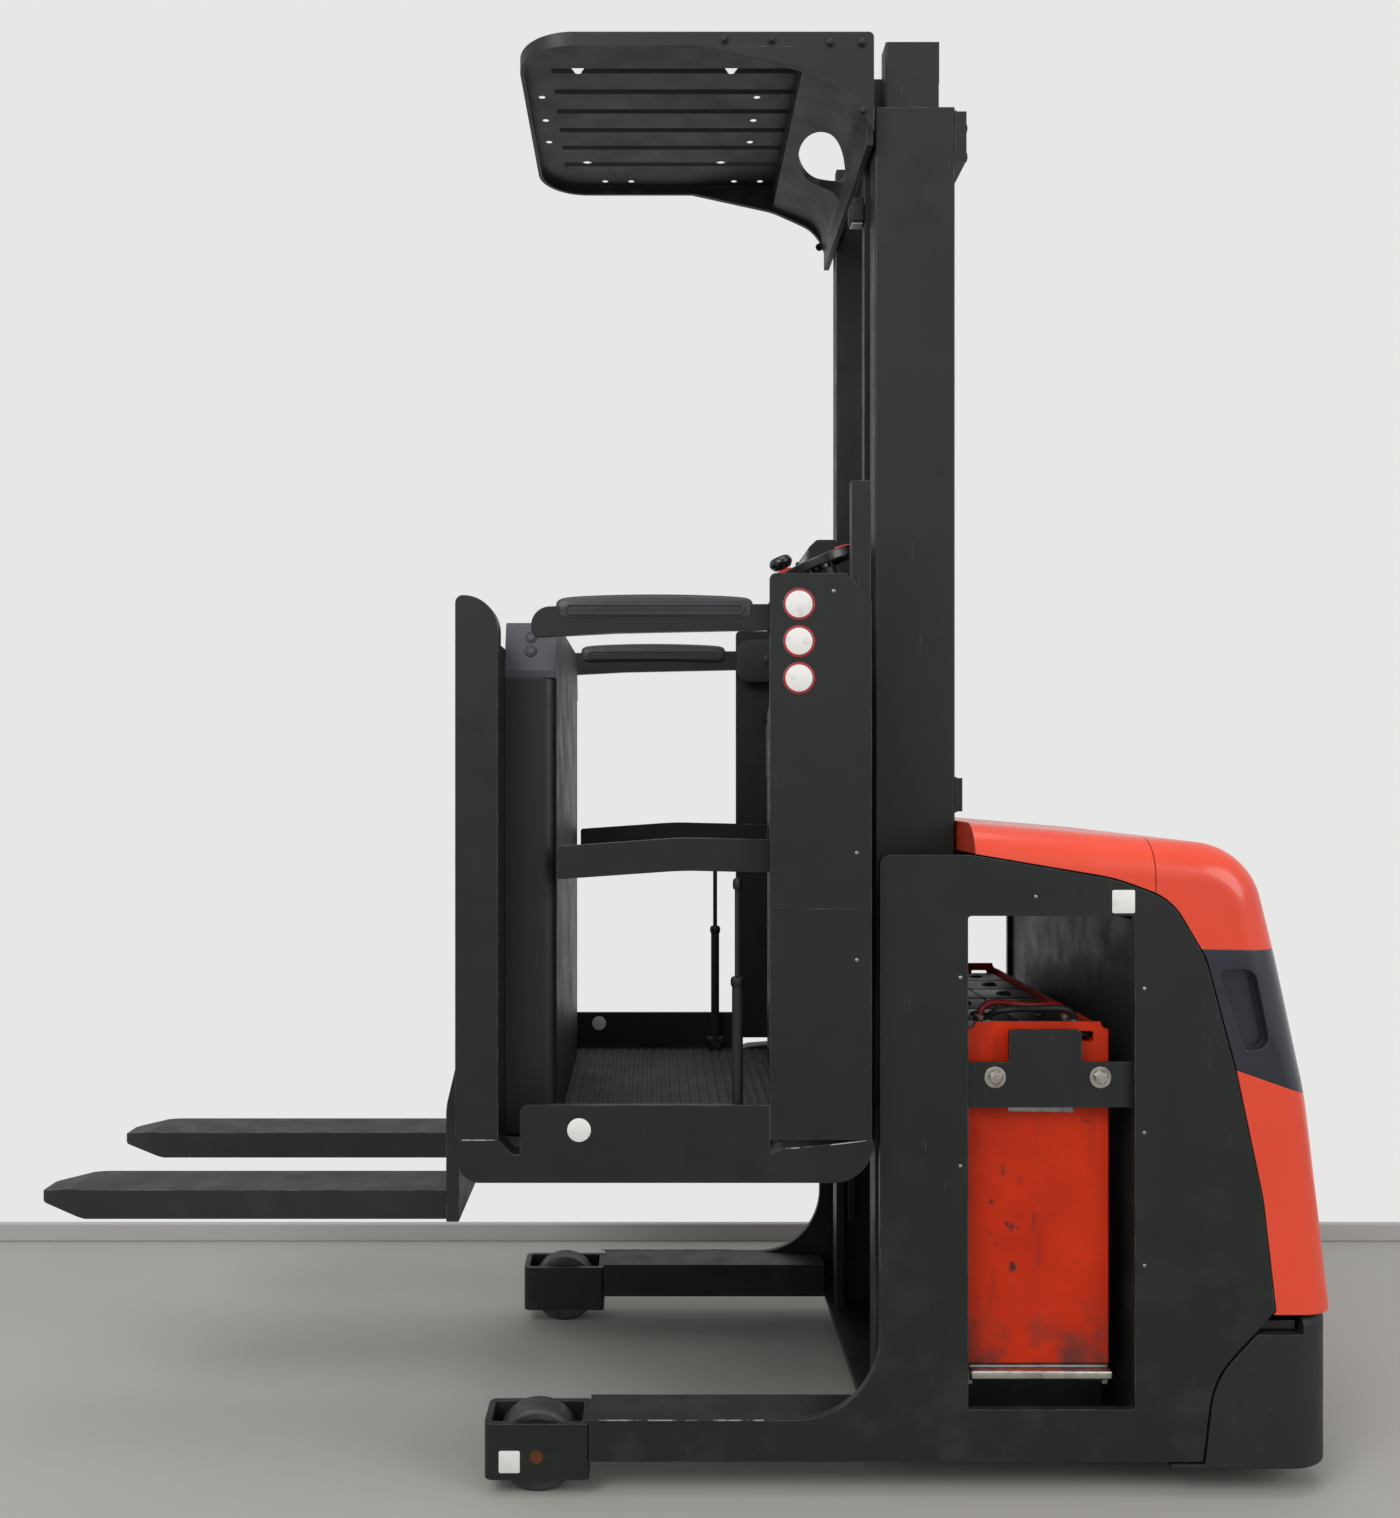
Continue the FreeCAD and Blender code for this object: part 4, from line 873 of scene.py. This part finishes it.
class PICKER_OT_signs(bpy.types.Operator):
    """Sticks the blank round signs and plates on the panels"""
    bl_idname = "picker.signs"
    bl_label = "Blank signs"

    def execute(self, context):
        radius = context.scene.picker_sizes.sign_radius
        faces, rims, chassis_plates, kick_plates = [], [], [], []
        cabin, chassis = CABIN_FACE + GAP, CHASSIS_FACE + GAP
        for side in (NEAR, FAR):
            for z in SIGN_Z:
                rims.append(foil(disc_outline(SIGN_X, z, radius), side, cabin))
                faces.append(plate(disc_outline(SIGN_X, z, radius * 0.84), side * (cabin + 0.0005),
                                   side * (cabin + 0.0009), 0.0001))
            kick_plates.append(foil(disc_outline(KICK_SIGN_X, 0.675, 0.021), side, cabin))
            kick_plates.append(foil(disc_outline(KICK_SIGN_X, 0.693, 0.017), side, KICK_PLATE_INNER, -1))
            for corners in CHASSIS_PLATES:
                chassis_plates.append(foil(rounded_outline(*corners, 0.003, 3), side, chassis))
        for name, parts, look, body in (("sign_rims", rims, "sign_red", "cabin"),
                                        ("sign_faces", faces, "sign_white", "cabin"),
                                        ("kick_plate_signs", kick_plates, "sign_white", "cabin"),
                                        ("chassis_signs", chassis_plates, "sign_white", "chassis")):
            fitting(name, parts, look, body)
        return {"FINISHED"}


def moved(work, matrix):
    """The same bmesh, moved by the matrix."""
    bmesh.ops.transform(work, matrix=matrix, verts=work.verts)
    return work


def cap_buttons(dark, grey, metal):
    """Buttons on the sloped ends of the load side's cap, and a row on its top."""
    for side in (NEAR, FAR):
        slope = Vector((0, side * 0.93, 0.34)).normalized()
        for z in SLOPE_BUTTON_Z:
            spot = Vector((CAP_X, side * (0.3835 - (z - 1.505) * 0.39), z))
            dark.append(button(0.0115, -0.004, 0.0008, 0.0105, 0.0016, spot, slope))
            grey.append(button(0.0070, 0.0, 0.0022, 0.0062, 0.0028, spot, slope, 24))
    for y in (-0.12, -0.06, 0.0, 0.06, 0.12):
        spot = Vector((CAP_X, y, CAP_TOP))
        dark.append(button(0.016, -0.003, 0.002, 0.013, 0.0036, spot))
        metal.append(button(0.010, 0.0, 0.0055, 0.0085, 0.0065, spot, UP, 24))


def screen_parts():
    """Bezel, glass and keys of the display, tilted as its housing is."""
    turn = Matrix.Translation(SCREEN) @ Matrix.Rotation(-math.atan2(0.013, 0.18), 4, "Y")
    bezel = soft_block((-0.0032, -0.085, -0.052), (0.003, 0.085, 0.062), 0.0025)
    glass = soft_block((-0.0042, -0.073, -0.028), (-0.001, 0.073, 0.052), 0.001)
    keys = joined([soft_block((-0.0056, y - 0.011, -0.0465), (-0.001, y + 0.011, -0.0345), 0.0016)
                   for y in (-0.056, -0.028, 0.0, 0.028, 0.056)])
    return [moved(work, turn) for work in (bezel, glass, keys)]


def wheel_trim():
    """Red rings, and spokes, of the steering wheel."""
    tilt = Matrix.Translation(STEERING_HUB) @ Matrix.Rotation(STEERING_TILT, 4, "Y")
    hub = button(0.021, 0.0075, 0.0125, 0.018, 0.0145, (0, 0, 0), UP, 36)
    collar = turned(((0.0072, 0.0088), (0.0155, 0.0088), (0.0155, 0.0150), (0.0072, 0.0165)), (-0.070, 0, 0),
                    UP, 28)
    arcs = []
    for start in (150, -30):
        turns = [start + 6 * i for i in range(-6, 7)]
        arc = [(STEERING_RIM * math.cos(math.radians(a)), STEERING_RIM * math.sin(math.radians(a)), 0.0092)
               for a in turns if abs(a - 180) > 16]
        arcs.append(tube_mesh(arc, 0.0035, 3, 6))
    spokes = [moved(soft_block((0.018, -0.009, 0.0026), (0.060, 0.009, 0.0066), 0.0016),
                    Matrix.Rotation(math.radians(angle), 4, "Z")) for angle in (60, 180, 300)]
    return moved(joined([hub, collar, merged(arcs)]), tilt), moved(joined(spokes), tilt)


class PICKER_OT_controls(bpy.types.Operator):
    """Builds the controls: buttons, screen, lift lever, key switch, stop button and steering wheel trim"""
    bl_idname = "picker.controls"
    bl_label = "Controls"

    def execute(self, context):
        dark, grey, metal = [], [], []
        cap_buttons(dark, grey, metal)
        bezel, glass, keys = screen_parts()
        dark.append(bezel)
        grey.append(keys)
        # Stop button, key switch and lift lever on the mast side's console
        front = Vector((-0.38, 0, 0.925)).normalized()
        stop = turned(((0, 0.012), (0.0175, 0.012), (0.021, 0.018), (0.019, 0.026), (0.010, 0.030),
                       (0, 0.030)), STOP_BUTTON, front, 32)
        stem = ((0, -0.006), (0.011, -0.006), (0.011, 0.013), (0, 0.013))
        metal.append(turned(stem, STOP_BUTTON, front, 24))
        grey.append(button(0.026, -0.006, 0.003, 0.022, 0.005, STOP_BUTTON, front, 36))
        metal.append(button(0.013, -0.006, 0.005, 0.011, 0.007, KEY_SWITCH, front))
        boot = ((0, -0.008), (0.030, -0.008), (0.028, 0.004), (0.022, 0.008), (0.024, 0.013), (0.017, 0.017),
                (0.018, 0.022), (0.011, 0.026), (0, 0.026))
        grip = ((0, 0.02), (0.008, 0.02), (0.010, 0.045), (0.019, 0.056), (0.022, 0.078), (0.017, 0.096),
                (0.008, 0.103), (0, 0.104))
        dark += [turned(profile, LIFT_LEVER, front, 32) for profile in (boot, grip)]
        # Padded knee rest and the cover plate below it
        dark.append(soft_block((0.2285, -0.255, 1.300), (0.2352, 0.255, 1.425), 0.0030))
        dark.append(soft_block((0.2315, -0.235, 0.760), (0.2352, 0.235, 1.240), 0.0016))
        for name, parts, look, slot in (("control_buttons", dark, "knob", "black_plastic"),
                                        ("control_keys", grey, "control_face", "panel_grey"),
                                        ("stop_button", [stop], "red_cap", "hood_paint"),
                                        ("control_metal", metal, "zinc", "machine_black"),
                                        ("screen_glass", [glass], "screen", "black_plastic")):
            fitting(name, parts, look, "cabin")
        reds, spokes = wheel_trim()
        fitting("wheel_red_trim", [reds], "red_cap", "steering_wheel")
        fitting("wheel_spokes", [spokes], "zinc", "steering_wheel")
        return {"FINISHED"}


def hose_route(y):
    """Points of a lift hose from the base frame up to its cylinder's head."""
    upright = [(HOSE_X, y, z) for z in (0.0865, 0.20, 0.8, 1.5, 1.80)]
    return upright + [(0.500, y * 1.5, 1.855), (0.488, y * 2.7, 1.872)]


def sheave_rims():
    """Rims and pin ends of the two chain sheaves on the lifting stage."""
    rim = ((0.0125, -0.0012), (0.0362, -0.0012), (0.0370, 0.0), (0.0362, 0.0012), (0.0125, 0.0012))
    rims = []
    for side in (NEAR, FAR):
        for way in (-1, 1):
            rims.append(turned(rim, (SHEAVE_X, side * SHEAVE_Y + way * 0.0128, SHEAVE_Z), (0, 1, 0)))
            rims.append(button(0.0118, -0.004, 0.004, 0.0098, 0.006,
                               (SHEAVE_X, side * SHEAVE_Y + way * 0.0160, SHEAVE_Z), (0, way, 0)))
    return rims


def roller_caps():
    """Faces and pin ends of the carriage's rollers."""
    face = ((0.012, 0.0), (0.0245, 0.0), (0.0245, 0.0008), (0.020, 0.0018), (0.012, 0.0012))
    caps = []
    for side in (NEAR, FAR):
        for z in ROLLER_Z:
            spot, inwards = (ROLLER_X, side * ROLLER_Y, z), (0, -side, 0)
            caps.append(turned(face, spot, inwards, 36))
            caps.append(button(0.0115, 0.0, 0.004, 0.009, 0.0055, spot, inwards))
    return caps


def weld_beads():
    """Beads along the mast's cross ties and at the arms' roots."""
    beads = []
    for side in (NEAR, FAR):
        for z in TIE_EDGE_Z:
            tie = [(0.5442, side * (0.244 + 0.0585 * i / 6), z) for i in range(7)]
            beads.append(tube_mesh(tie, 0.0028, 2, 2))
        beads.append(tube_mesh([(x, side * 0.3464, 0.1425) for x in (0.3735, 0.3755)], 0.003, 2, 2))
    return merged(beads)


def edge_lines(face, lines):
    """Thin lines on a face of both sides, each given by its (x, z) points."""
    return merged([tube_mesh([(x, side * face, z) for x, z in line], 0.0011, 2, 2)
                   for side in (NEAR, FAR) for line in lines])


class PICKER_OT_mast(bpy.types.Operator):
    """Adds hoses, clamps, glands, sheave rims, roller caps, weld beads and edges rubbed bright"""
    bl_idname = "picker.mast"
    bl_label = "Mast fittings"

    def execute(self, context):
        radius = context.scene.picker_sizes.hose_radius
        hoses = merged([tube_mesh(hose_route(y), radius, 3, 8) for y in (-HOSE_Y, HOSE_Y)])
        fitting("lift_hoses", [hoses], "hose", "chassis")
        clamps = [soft_block((0.494, -0.048, z - 0.012), (0.518, 0.048, z + 0.012)) for z in HOSE_CLAMP_Z]
        clamps.append(soft_block((0.516, -0.020, 1.252), (0.5432, 0.020, 1.272), 0.002))
        glands = []
        for side in (NEAR, FAR):
            y = side * CYLINDER_Y
            glands.append(turned(((0.0156, 1.8995), (0.0275, 1.8995), (0.0285, 1.903), (0.0285, 1.918),
                                  (0.026, 1.921), (0.0156, 1.921)), (CYLINDER_X, y, 0), UP))
            glands.append(turned(((0.0253, 0.0785), (0.0280, 0.0785), (0.0280, 0.092), (0.0253, 0.096)),
                                 (CYLINDER_X, y, 0), UP))
            clamps.append(soft_block((0.4995, y - 0.012, 1.846), (0.512, y + 0.012, 1.882), 0.002))
        fitting("hose_clamps", clamps, "black_bolt", "chassis")
        fitting("cylinder_glands", glands, "zinc", "chassis")
        fitting("sheave_rims", sheave_rims(), "zinc", "mast_inner")
        fitting("roller_caps", roller_caps(), "steel", "cabin")
        fitting("weld_beads", [weld_beads()], "frame_paint", "chassis")
        foot = ((-0.374, 0.6568), (-0.316, 0.6568))
        step = ((0.200, 0.6415), (0.262, 0.6462), (0.345, 0.6560))
        arm = ((-0.160, 0.1408), (0.165, 0.1408))
        fitting("cabin_worn_edges", [edge_lines(CABIN_FACE - 0.0002, (foot, step))], "worn_edge", "cabin")
        fitting("arm_worn_edges", [edge_lines(CHASSIS_FACE - 0.0002, (arm,))], "worn_edge", "chassis")
        return {"FINISHED"}


class PICKER_OT_battery(bpy.types.Operator):
    """Sets cells, plugs and leads on the battery, blank plates on its sides and bright bars at its foot"""
    bl_idname = "picker.battery"
    bl_label = "Battery"

    def execute(self, context):
        cells, plugs = [], []
        for row in range(2):
            for column in range(6):
                x = CASE_LOW.x + CASE_WALL_X + row * CELL_PITCH_X
                y = CASE_LOW.y + CASE_WALL_Y + column * CELL_PITCH_Y
                lid = CELL_TOP + 0.008
                cells.append(soft_block((x, y, CELL_TOP - 0.001), (x + CELL_LENGTH, y + CELL_WIDTH, lid)))
                plugs.append(((x + CELL_LENGTH / 2, y + CELL_WIDTH / 2, lid), UP, 3.4))
        fitting("battery_cells", cells, "console", "chassis")
        repeat_on("cell_plugs", dome_tree(), plugs, "control_face", "chassis", "panel_grey")
        first, last = LEAD_X
        for name, look, y, sway in (("lead_dark", "hose", LEAD_Y[0], -0.02),
                                    ("lead_red", "copper_lead", LEAD_Y[1], 0.02)):
            route = [(first, y, 0.832), (first, y, 0.850), (0.63, y + sway, 0.864), (0.70, y - sway, 0.858),
                     (0.755, y, 0.862), (last, y, 0.846), (last, y, 0.832)]
            new_piece(name, tube_mesh(route, 0.0065, 3, 10), look, "chassis")
        posts = [button(0.011, 0.829, 0.838, 0.008, 0.841, (x, y, 0), UP, 24)
                 for x in LEAD_X for y in LEAD_Y]
        fitting("battery_posts", posts, "zinc", "chassis")
        # Blank plate on the case's side, below the strap
        label = [(0.617, 0.688), (0.737, 0.686), (0.737, 0.700), (0.617, 0.701)]
        labels = [foil(label, side, CASE_HIGH.y + GAP) for side in (NEAR, FAR)]
        fitting("battery_plate", labels, "zinc", "chassis")
        # Bar at the battery's foot, rubbed bright
        reach = (CASE_LOW.x + 0.0005, CASE_HIGH.x - 0.0005)
        bars = [side_block(side, reach, (0.409, 0.432), (0.2060, 0.2215), 0.004) for side in (NEAR, FAR)]
        fitting("hatch_bars", bars, "steel", "chassis")
        return {"FINISHED"}


class PICKER_OT_drive(bpy.types.Operator):
    """Adds the wheels' bearing rings, axle ends and nuts, and the motor's fins"""
    bl_idname = "picker.drive"
    bl_label = "Wheels and drive"

    def execute(self, context):
        bolts = hex_bolt_tree()
        seal = ((0.0128, 0.0), (0.020, 0.0), (0.021, 0.0010), (0.020, 0.0022), (0.0128, 0.0022))
        for side, name in SIDES:
            seals = [turned(seal, (LOAD_AXLE.x, side * (LOAD_AXLE.y + way * 0.0277), LOAD_AXLE.z),
                            (0, way * side, 0), 32) for way in (-1, 1)]
            fitting("load_bearing_" + name, seals, "zinc", "load_wheel_" + name)
        end = ((0, 0.0), (0.0115, 0.0), (0.0125, 0.001), (0.0115, 0.0022), (0, 0.0022))
        ends = [turned(end, (LOAD_AXLE.x, side * CHASSIS_FACE, LOAD_AXLE.z), (0, side, 0), 32)
                for side in (NEAR, FAR)]
        fitting("axle_ends", ends, "rust", "chassis")
        nuts = [((DRIVE_AXLE.x + u, NUT_Y, DRIVE_AXLE.z + v), (0, -1, 0), 0.9)
                for u, v in around(6, NUT_CIRCLE)]
        repeat_on("drive_wheel_nuts", bolts, nuts, "zinc", "drive_wheel")
        cover = [((DRIVE_AXLE.x + u, COVER_Y, DRIVE_AXLE.z + v), (0, 1, 0), 0.65)
                 for u, v in around(8, COVER_CIRCLE)]
        repeat_on("gear_cover_screws", bolts, cover, "black_bolt", "drive_unit")
        fin = ((0.0902, -0.002), (0.0960, -0.0012), (0.0960, 0.0012), (0.0902, 0.002))
        fins = [turned(fin, (DRIVE_AXLE.x, DRIVE_AXLE.y, FIN_FIRST_Z + FIN_PITCH * i), UP, 56)
                for i in range(FIN_COUNT)]
        fitting("motor_fins", fins, "machine_black", "chassis")
        return {"FINISHED"}


class PICKER_OT_guard(bpy.types.Operator):
    """Adds the work lamp, the gates' fittings and the seams of the side panels"""
    bl_idname = "picker.guard"
    bl_label = "Guard and gates"

    def execute(self, context):
        lamp = [soft_block((0.354, -0.222, 2.396), (0.3835, -0.184, 2.436), 0.006, 4),
                soft_block((0.362, -0.205, 2.434), (0.3835, -0.195, 2.452), 0.002)]
        fitting("work_lamp", lamp, "machine_black", "cabin")
        lens = soft_block((0.358, -0.217, 2.3935), (0.380, -0.189, 2.3970), 0.0014)
        fitting("lamp_lens", [lens], "lamp_lens", "cabin")
        # Hinge brackets and caps, strut feet and collars, and the button at each bar's end
        foot = ((0, 0.922), (0.0115, 0.922), (0.0125, 0.926), (0.0125, 0.934), (0.0105, 0.938),
                (0.0055, 0.940), (0, 0.940))
        head = ((0, 1.098), (0.0075, 1.098), (0.0085, 1.102), (0.0085, 1.112), (0.007, 1.1165), (0, 1.1175))
        stud = ((0, -0.004), (0.0085, -0.004), (0.0085, 0.0030), (0.006, 0.0052), (0, 0.0056))
        for side, name in SIDES:
            inwards, strut = (0, -side, 0), (STRUT_X, side * STRUT_Y, 0)
            pin = (GATE_PIN.x, side * (BRACKET_Y[0] + 0.0002), GATE_PIN.z)
            cap = button(0.0125, 0.0, 0.0010, 0.0115, 0.0015, pin, inwards)
            bracket = plate(rounded_outline(0.172, 0.300, 1.535, 1.638, 0.034, 8), side * BRACKET_Y[0],
                            side * BRACKET_Y[1], 0.0015)
            block = side_block(side, (0.098, 0.140), (0.4215, 0.4405), (0.6535, 0.6690), 0.004)
            fitting("gate_hinge_bracket_" + name, [bracket], "machine_black", "cabin")
            fitting("gate_hinge_caps_" + name, [cap], "black_bolt", "cabin")
            fitting("strut_feet_" + name, [block], "hose", "cabin")
            fitting("strut_collars_" + name, [turned(foot, strut, UP, 28), turned(head, strut, UP, 24)],
                    "black_bolt", "cabin")
            fitting("bar_button_" + name, [turned(stud, (-0.232, side * BAR_INNER, 1.578), inwards, 28)],
                    "hose", "gate_bar_" + name)
        # The service panel's seam on each side
        seam = rounded_outline(0.181, 0.353, 1.0665, 1.0685, 0.0008, 2)
        seams = [plate(seam, side * (CABIN_FACE - 0.0002), side * (CABIN_FACE + 0.0004), 0.0001)
                 for side in (NEAR, FAR)]
        fitting("panel_seams", seams, "knob", "cabin")
        return {"FINISHED"}


def add_lamp(scene, name, place, aim, size, power):
    """A round area lamp that points at its aim."""
    light = bpy.data.lights.new(name, "AREA")
    light.shape = "DISK"
    light.size = size
    light.energy = power
    lamp = bpy.data.objects.new(name, light)
    lamp.location = place
    lamp.rotation_euler = (Vector(aim) - Vector(place)).to_track_quat("-Z", "Y").to_euler()
    scene.collection.objects.link(lamp)


def light_world(scene):
    """Soft light from all round, and a paler background for the camera."""
    world = scene.world or bpy.data.worlds.new("world")
    scene.world = world
    world.use_nodes = True
    tree = world.node_tree
    light = tree.nodes["Background"]
    light.inputs["Color"].default_value = (0.86, 0.88, 0.90, 1)
    light.inputs["Strength"].default_value = 0.75
    seen = add_node(tree, "ShaderNodeBackground", Color=(0.80, 0.80, 0.795, 1))
    ray = add_node(tree, "ShaderNodeLightPath")
    either = add_node(tree, "ShaderNodeMixShader",
                      {0: ray.outputs["Is Camera Ray"], 1: light.outputs[0], 2: seen.outputs[0]})
    tree.links.new(either.outputs[0], tree.nodes["World Output"].inputs[0])


class PICKER_OT_stage(bpy.types.Operator):
    """Sets the floor, its skirting, the lamps and the camera"""
    bl_idname = "picker.stage"
    bl_label = "Stage and camera"

    def execute(self, context):
        scene = context.scene
        floor = bpy.data.meshes.new("floor")
        floor.from_pydata([(-FLOOR_REACH, -FLOOR_REACH, 0), (FLOOR_REACH, -FLOOR_REACH, 0),
                           (FLOOR_REACH, FLOOR_END, 0), (-FLOOR_REACH, FLOOR_END, 0)], [], [(0, 1, 2, 3)])
        skirt = as_mesh("skirting", soft_block((-FLOOR_REACH, FLOOR_END - SKIRT_DEPTH, 0),
                                               (FLOOR_REACH, FLOOR_END, SKIRT_HEIGHT), 0.004))
        for mesh, name, colour in ((floor, "floor", (0.36, 0.345, 0.315)),
                                   (skirt, "skirting", (0.42, 0.41, 0.39))):
            s = Shade("stage_" + name)
            tone = s.blend(s.cloud(1.6, 8, 0.35, 0.7), rgb(colour, 0.985), rgb(colour, 1.015))
            mesh.materials.append(s.finish(tone, 0.9))
            piece = bpy.data.objects.new(name, mesh)
            scene.collection.objects.link(piece)
        add_lamp(scene, "key", (-2.6, -4.2, 4.6), (0.1, 0, 1.2), 3.0, 170)
        add_lamp(scene, "fill", (4.2, -3.6, 2.8), (0.3, 0, 1.0), 3.0, 80)
        add_lamp(scene, "top", (0.4, -0.6, 5.6), (0.2, 0, 0), 3.6, 70)
        light_world(scene)
        camera = bpy.data.cameras.new("camera")
        camera.lens = SENSOR_MM * FOCAL_LENGTH / PHOTO_HEIGHT
        camera.shift_x = (PHOTO_WIDTH / 2 - PRINCIPAL_X) / PHOTO_HEIGHT
        camera.shift_y = (PRINCIPAL_Y - PHOTO_HEIGHT / 2) / PHOTO_HEIGHT
        holder = bpy.data.objects.new("camera", camera)
        holder.location = CAMERA
        holder.rotation_euler = (math.radians(90), 0, 0)
        scene.collection.objects.link(holder)
        scene.camera = holder
        scene.view_settings.view_transform = "Standard"
        return {"FINISHED"}


OPERATORS = (PICKER_OT_paint, PICKER_OT_pads, PICKER_OT_bolts, PICKER_OT_signs, PICKER_OT_controls,
             PICKER_OT_mast, PICKER_OT_battery, PICKER_OT_drive, PICKER_OT_guard, PICKER_OT_stage)


class PICKER_PT_sidebar(bpy.types.Panel):
    """Sidebar panel with the truck's paint, sizes and building steps"""
    bl_idname = "PICKER_PT_sidebar"
    bl_label = "Order picker truck"
    bl_space_type = "VIEW_3D"
    bl_region_type = "UI"
    bl_category = "Picker"

    def draw(self, context):
        column = self.layout.column()
        for group in (context.scene.picker_paint, context.scene.picker_sizes):
            for name in group.__annotations__:
                column.prop(group, name)
        for operator in OPERATORS:
            column.operator(operator.bl_idname)


CLASSES = (PickerPaint, PickerSizes) + OPERATORS + (PICKER_PT_sidebar,)


def register():
    for cls in CLASSES:
        bpy.utils.register_class(cls)
    bpy.types.Scene.picker_paint = bpy.props.PointerProperty(type=PickerPaint)
    bpy.types.Scene.picker_sizes = bpy.props.PointerProperty(type=PickerSizes)


def unregister():
    del bpy.types.Scene.picker_paint
    del bpy.types.Scene.picker_sizes
    for cls in reversed(CLASSES):
        bpy.utils.unregister_class(cls)


def main():
    register()
    for operator in OPERATORS:
        group, name = operator.bl_idname.split(".")
        getattr(getattr(bpy.ops, group), name)()


if __name__ == "__main__":
    main()
